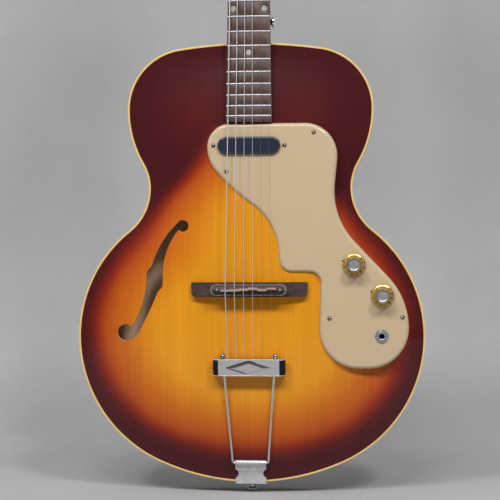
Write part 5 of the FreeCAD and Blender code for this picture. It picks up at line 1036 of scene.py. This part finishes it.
def add_crossbar_beads():
    """Thin bright beads along the crossbar's front edges."""
    half, back = CROSSBAR_WIDTH / 2, CROSSBAR_DEPTH - CROSSBAR_FRONT - 0.4
    path = [Vector((-half, back, 0))]
    for side, start in ((-1, pi), (1, pi * 3 / 2)):
        centre = Vector((side * (half - CROSSBAR_CORNER), CROSSBAR_CORNER - CROSSBAR_FRONT, 0))
        for step in range(9):
            turn = start + pi / 2 * step / 8
            path.append(centre + CROSSBAR_CORNER * Vector((cos(turn), sin(turn), 0)))
    path.append(Vector((half, back, 0)))
    parts = []
    for level, radius in ((TRAPEZE + 0.3, 0.35), (TRAPEZE + CROSSBAR_HEIGHT - 0.4, 0.6)):
        parts.append(tube([TAIL @ (point + Vector((0, 0, level))) for point in path], radius))
    made = sharpen(gather("crossbar_beads", parts, "hinge_nickel"), 60)
    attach(made, "trapeze")


def add_post_tips():
    """Small round ends on the bridge posts."""
    low, high = (corner / MM for corner in map(Vector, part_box("bridge_posts")))
    radius, sink, rise = 1.5, 0.1, 0.9
    turns = [radians(10 * step) for step in range(9)]
    dome = [(radius * cos(turn), sink + rise * sin(turn)) for turn in turns]
    profile = ((0, 0), (radius, 0), *dome, (0, sink + rise))
    parts = []
    for side in (-1, 1):
        spot = facing(side * BRIDGE_POST_X, low.y + sink, (low.z + high.z) / 2)
        parts.append(lathe(profile, spot, 24))
    made = sharpen(gather("post_tips", parts, "cap_metal"), 50)
    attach(made, "guitar")


# Screws with a cut in the head, each where its node has one
# Cut as shares of the head, tip as a share of the shank, and the turn of each head
CUT_WIDTH, CUT_LENGTH, CUT_DEPTH, SHANK_TIP = 0.13, 0.62, 0.45, 0.6
HEAD_START, HEAD_STEP = 0.4, 0.7


def screw_spot(points, head_height, shank):
    """Frame with Z out of the head at its seat, and the shank's length."""
    middle = sum(points, Vector()) / len(points)
    base = HEAD if middle.z > SCALE else Matrix()
    local = [base.inverted() @ point for point in points]
    low, high = corners(local)
    axis = max(range(3), key=lambda index: high[index] - low[index])
    centre = (low + high) / 2

    def reach(point):
        away = point - centre
        away[axis] = 0
        return away.length

    wide = [point for point in local if reach(point) > 1.3 * shank]
    outward = 1 if sum(point[axis] for point in wide) / len(wide) > centre[axis] else -1
    heading = Vector()
    heading[axis] = outward
    seat = centre.copy()
    seat[axis] = (high[axis] - head_height) if outward > 0 else (low[axis] + head_height)
    turned = heading.to_track_quat("Z", "Y").to_matrix().to_4x4()
    return base @ Matrix.Translation(seat) @ turned, high[axis] - low[axis] - head_height


def cut_head(radius, height, shank, cuts):
    """Dome head on a unit shank with a slot or a cross let into it, as points and loops."""
    ball = (radius ** 2 + height ** 2) / (2 * height)
    lean = math.asin(radius / ball)
    turns = [lean * (1 - step / 10) for step in range(11)]
    dome = [(ball * sin(turn), height - ball + ball * cos(turn)) for turn in turns]
    dome[-1] = (0, height)
    profile = ((0, -1.0), (shank * SHANK_TIP, -1.0), (shank, -0.9), (shank, 0), *dome)
    body = add_mesh("head", *lathe(profile, Matrix(), 32), ["nickel"])
    half, long, deep = radius * CUT_WIDTH * MM, radius * CUT_LENGTH * MM, height * CUT_DEPTH * MM
    for turn in cuts:
        box = bmesh.new()
        bmesh.ops.create_cube(box, size=2)
        bmesh.ops.scale(box, vec=(long, half, height * MM), verts=box.verts)
        bmesh.ops.rotate(box, matrix=Matrix.Rotation(turn, 3, "Z"), verts=box.verts)
        bmesh.ops.translate(box, vec=(0, 0, 2 * height * MM - deep), verts=box.verts)
        data = bpy.data.meshes.new("cutter")
        box.to_mesh(data)
        box.free()
        cutter = add_object("cutter", data)
        sink = body.modifiers.new("cut", "BOOLEAN")
        sink.operation, sink.object, sink.solver = "DIFFERENCE", cutter, "EXACT"
    bpy.context.view_layer.update()
    points, loops = as_it_stands(body)
    for item in [modifier.object for modifier in body.modifiers] + [body]:
        bpy.data.objects.remove(item)
    return [point / MM for point in points], loops


def add_screws():
    for name, node, radius, height, shank, cuts in (
        ("cross_head_screws", "small_screws", 2.7, 1.8, 1.1, (0, pi / 2)),
        ("slot_head_screws", "wood_screws", 3.3, 2.2, 1.8, (0,)),
    ):
        points, loops = cut_head(radius, height, shank, cuts)
        parts = []
        for index, group in enumerate(islands(NODES[node])):
            spot, length = screw_spot(group, height, shank)
            spot = spot @ Matrix.Rotation(HEAD_STEP * index + HEAD_START, 4, "Z")
            parts.append(([
                tuple(spot @ Vector((p.x, p.y, p.z * length if p.z < 0 else p.z))) for p in points
            ], loops))
        made = sharpen(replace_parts(gather(name, parts, "screw_nickel"), node))
        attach(made, "guitar")


add_body_plates()
add_strings()
add_knobs()
add_thumbwheels()
add_screws()
add_ball_nuts()
add_post_tips()
add_jack_front()
add_crossbar_beads()

# Soft edges on the nodes that show, without touching their meshes; widths in millimetres
SOFT_EDGES = {
    "top_binding": 0.5, "back_binding": 0.5, "fingerboard": 0.35, "bridge_base": 0.7, "bridge_saddle": 0.35,
    "nut": 0.3, "neck": 0.4, "tailpiece_hinge": 0.5, "tuner_plates": 0.25, "truss_rod_cover": 0.4,
    "strap_buttons": 0.4,
}
for name, width in SOFT_EDGES.items():
    joined = NODES[name].modifiers.new("joined", "WELD")
    joined.merge_threshold = 0.01 * MM
    soften = NODES[name].modifiers.new("soft_edge", "BEVEL")
    soften.width = width * MM
    soften.segments = 2
    soften.limit_method = "ANGLE"
    soften.angle_limit = radians(38)
    soften.harden_normals = True


# Floor, backdrop, light and camera
def add_stage():
    made, tree, shader = material("paper")
    tone = tint(tree, (0.41, 0.41, 0.41, 1), noise(tree, (5, 5, 5), 6.0, 0.7), 0.88, 1.12)
    put(tree, shader, {"Base Color": tone, "Roughness": 0.9})
    behind = wire(tree, "NewGeometry", {}).outputs["Backfacing"]
    clear = wire(tree, "BsdfTransparent", {}).outputs["BSDF"]
    surface = wire(tree, "MixShader", {0: behind, 1: shader.outputs["BSDF"], 2: clear}).outputs["Shader"]
    put(tree, tree.nodes["Material Output"], {"Surface": surface})
    MATERIALS["paper"] = made
    low = cad_box[0][2] / MM - 0.2
    reach, start, bend = 2600, 300, 400
    profile = [(-reach, low), (start, low)]
    for index in range(1, 13):
        turn = pi / 2 * index / 12
        profile.append((start + bend * sin(turn), low + bend - bend * cos(turn)))
    profile.append((start + bend, low + reach))
    places = [(x, y, z) for y, z in profile for x in (-reach, reach)]
    faces = [[2 * row, 2 * row + 1, 2 * row + 3, 2 * row + 2] for row in range(len(profile) - 1)]
    add_mesh("backdrop", places, faces, ["paper"])


# Place, size and power of each lamp
LAMPS = {
    "key_left": ((-0.95, -1.9, 2.1), (0.5, 0.45), 28),
    "key_right": ((1.0, -1.9, 2.1), (0.5, 0.5), 32),
    "top": ((-0.1, -1.95, 2.15), (0.8, 0.4), 22),
    "left_fill": ((-2.3, -0.7, 1.1), (1.0, 1.6), 7),
    "right_fill": ((2.3, -0.7, 1.1), (1.0, 1.6), 5),
}
LAMP_AIM = Vector((0, 0, 0.3))


def add_lamp(name, place, size, power):
    lamp = bpy.data.lights.new(name, "AREA")
    lamp.shape = "RECTANGLE"
    lamp.size, lamp.size_y = size
    lamp.energy = power
    made = add_object(name, lamp)
    made.location = place
    made.rotation_euler = (LAMP_AIM - Vector(place)).to_track_quat("-Z", "Y").to_euler()


def add_world():
    """Even pale surroundings that fall off to dark behind the camera."""
    world = bpy.data.worlds.new("studio")
    world.use_nodes = True
    tree = world.node_tree
    heading = wire(tree, "TexCoord", {}).outputs["Generated"]
    parts = wire(tree, "SeparateXYZ", {"Vector": heading}).outputs
    dim, full = 0.05, 0.48
    back = between(tree, parts["Y"], -0.35, 0.25, dim, full)
    above = between(tree, parts["Z"], 0.55, 0.95, dim, full)
    level = calc(tree, "MAXIMUM", back, above)
    seen = wire(tree, "LightPath", {}).outputs["Is Camera Ray"]
    level = wire(tree, "Mix", {0: seen, 2: level, 3: 0.42}, data_type="FLOAT").outputs[0]
    put(tree, tree.nodes["Background"], {"Color": (0.93, 0.96, 1.0, 1), "Strength": level})
    bpy.context.scene.world = world


def add_camera():
    azimuth, distance, roll = radians(4.6), 1.8, radians(-0.2)
    view_width = 0.5848
    aim = Vector((-0.0022, 0, 0.2714))
    camera = bpy.data.cameras.new("camera")
    camera.sensor_fit = "HORIZONTAL"
    camera.angle = 2 * math.atan(view_width / 2 / (distance + FRONT * MM))
    made = add_object("camera", camera)
    made.location = aim + Vector((sin(azimuth), -cos(azimuth), 0)) * distance
    look = (aim - made.location).to_track_quat("-Z", "Y").to_matrix()
    made.rotation_euler = (look @ Matrix.Rotation(roll, 3, "Z")).to_euler()
    bpy.context.scene.camera = made


add_stage()
for name, values in LAMPS.items():
    add_lamp(name, *values)
add_world()
bpy.context.scene.view_settings.view_transform = "Standard"
add_camera()
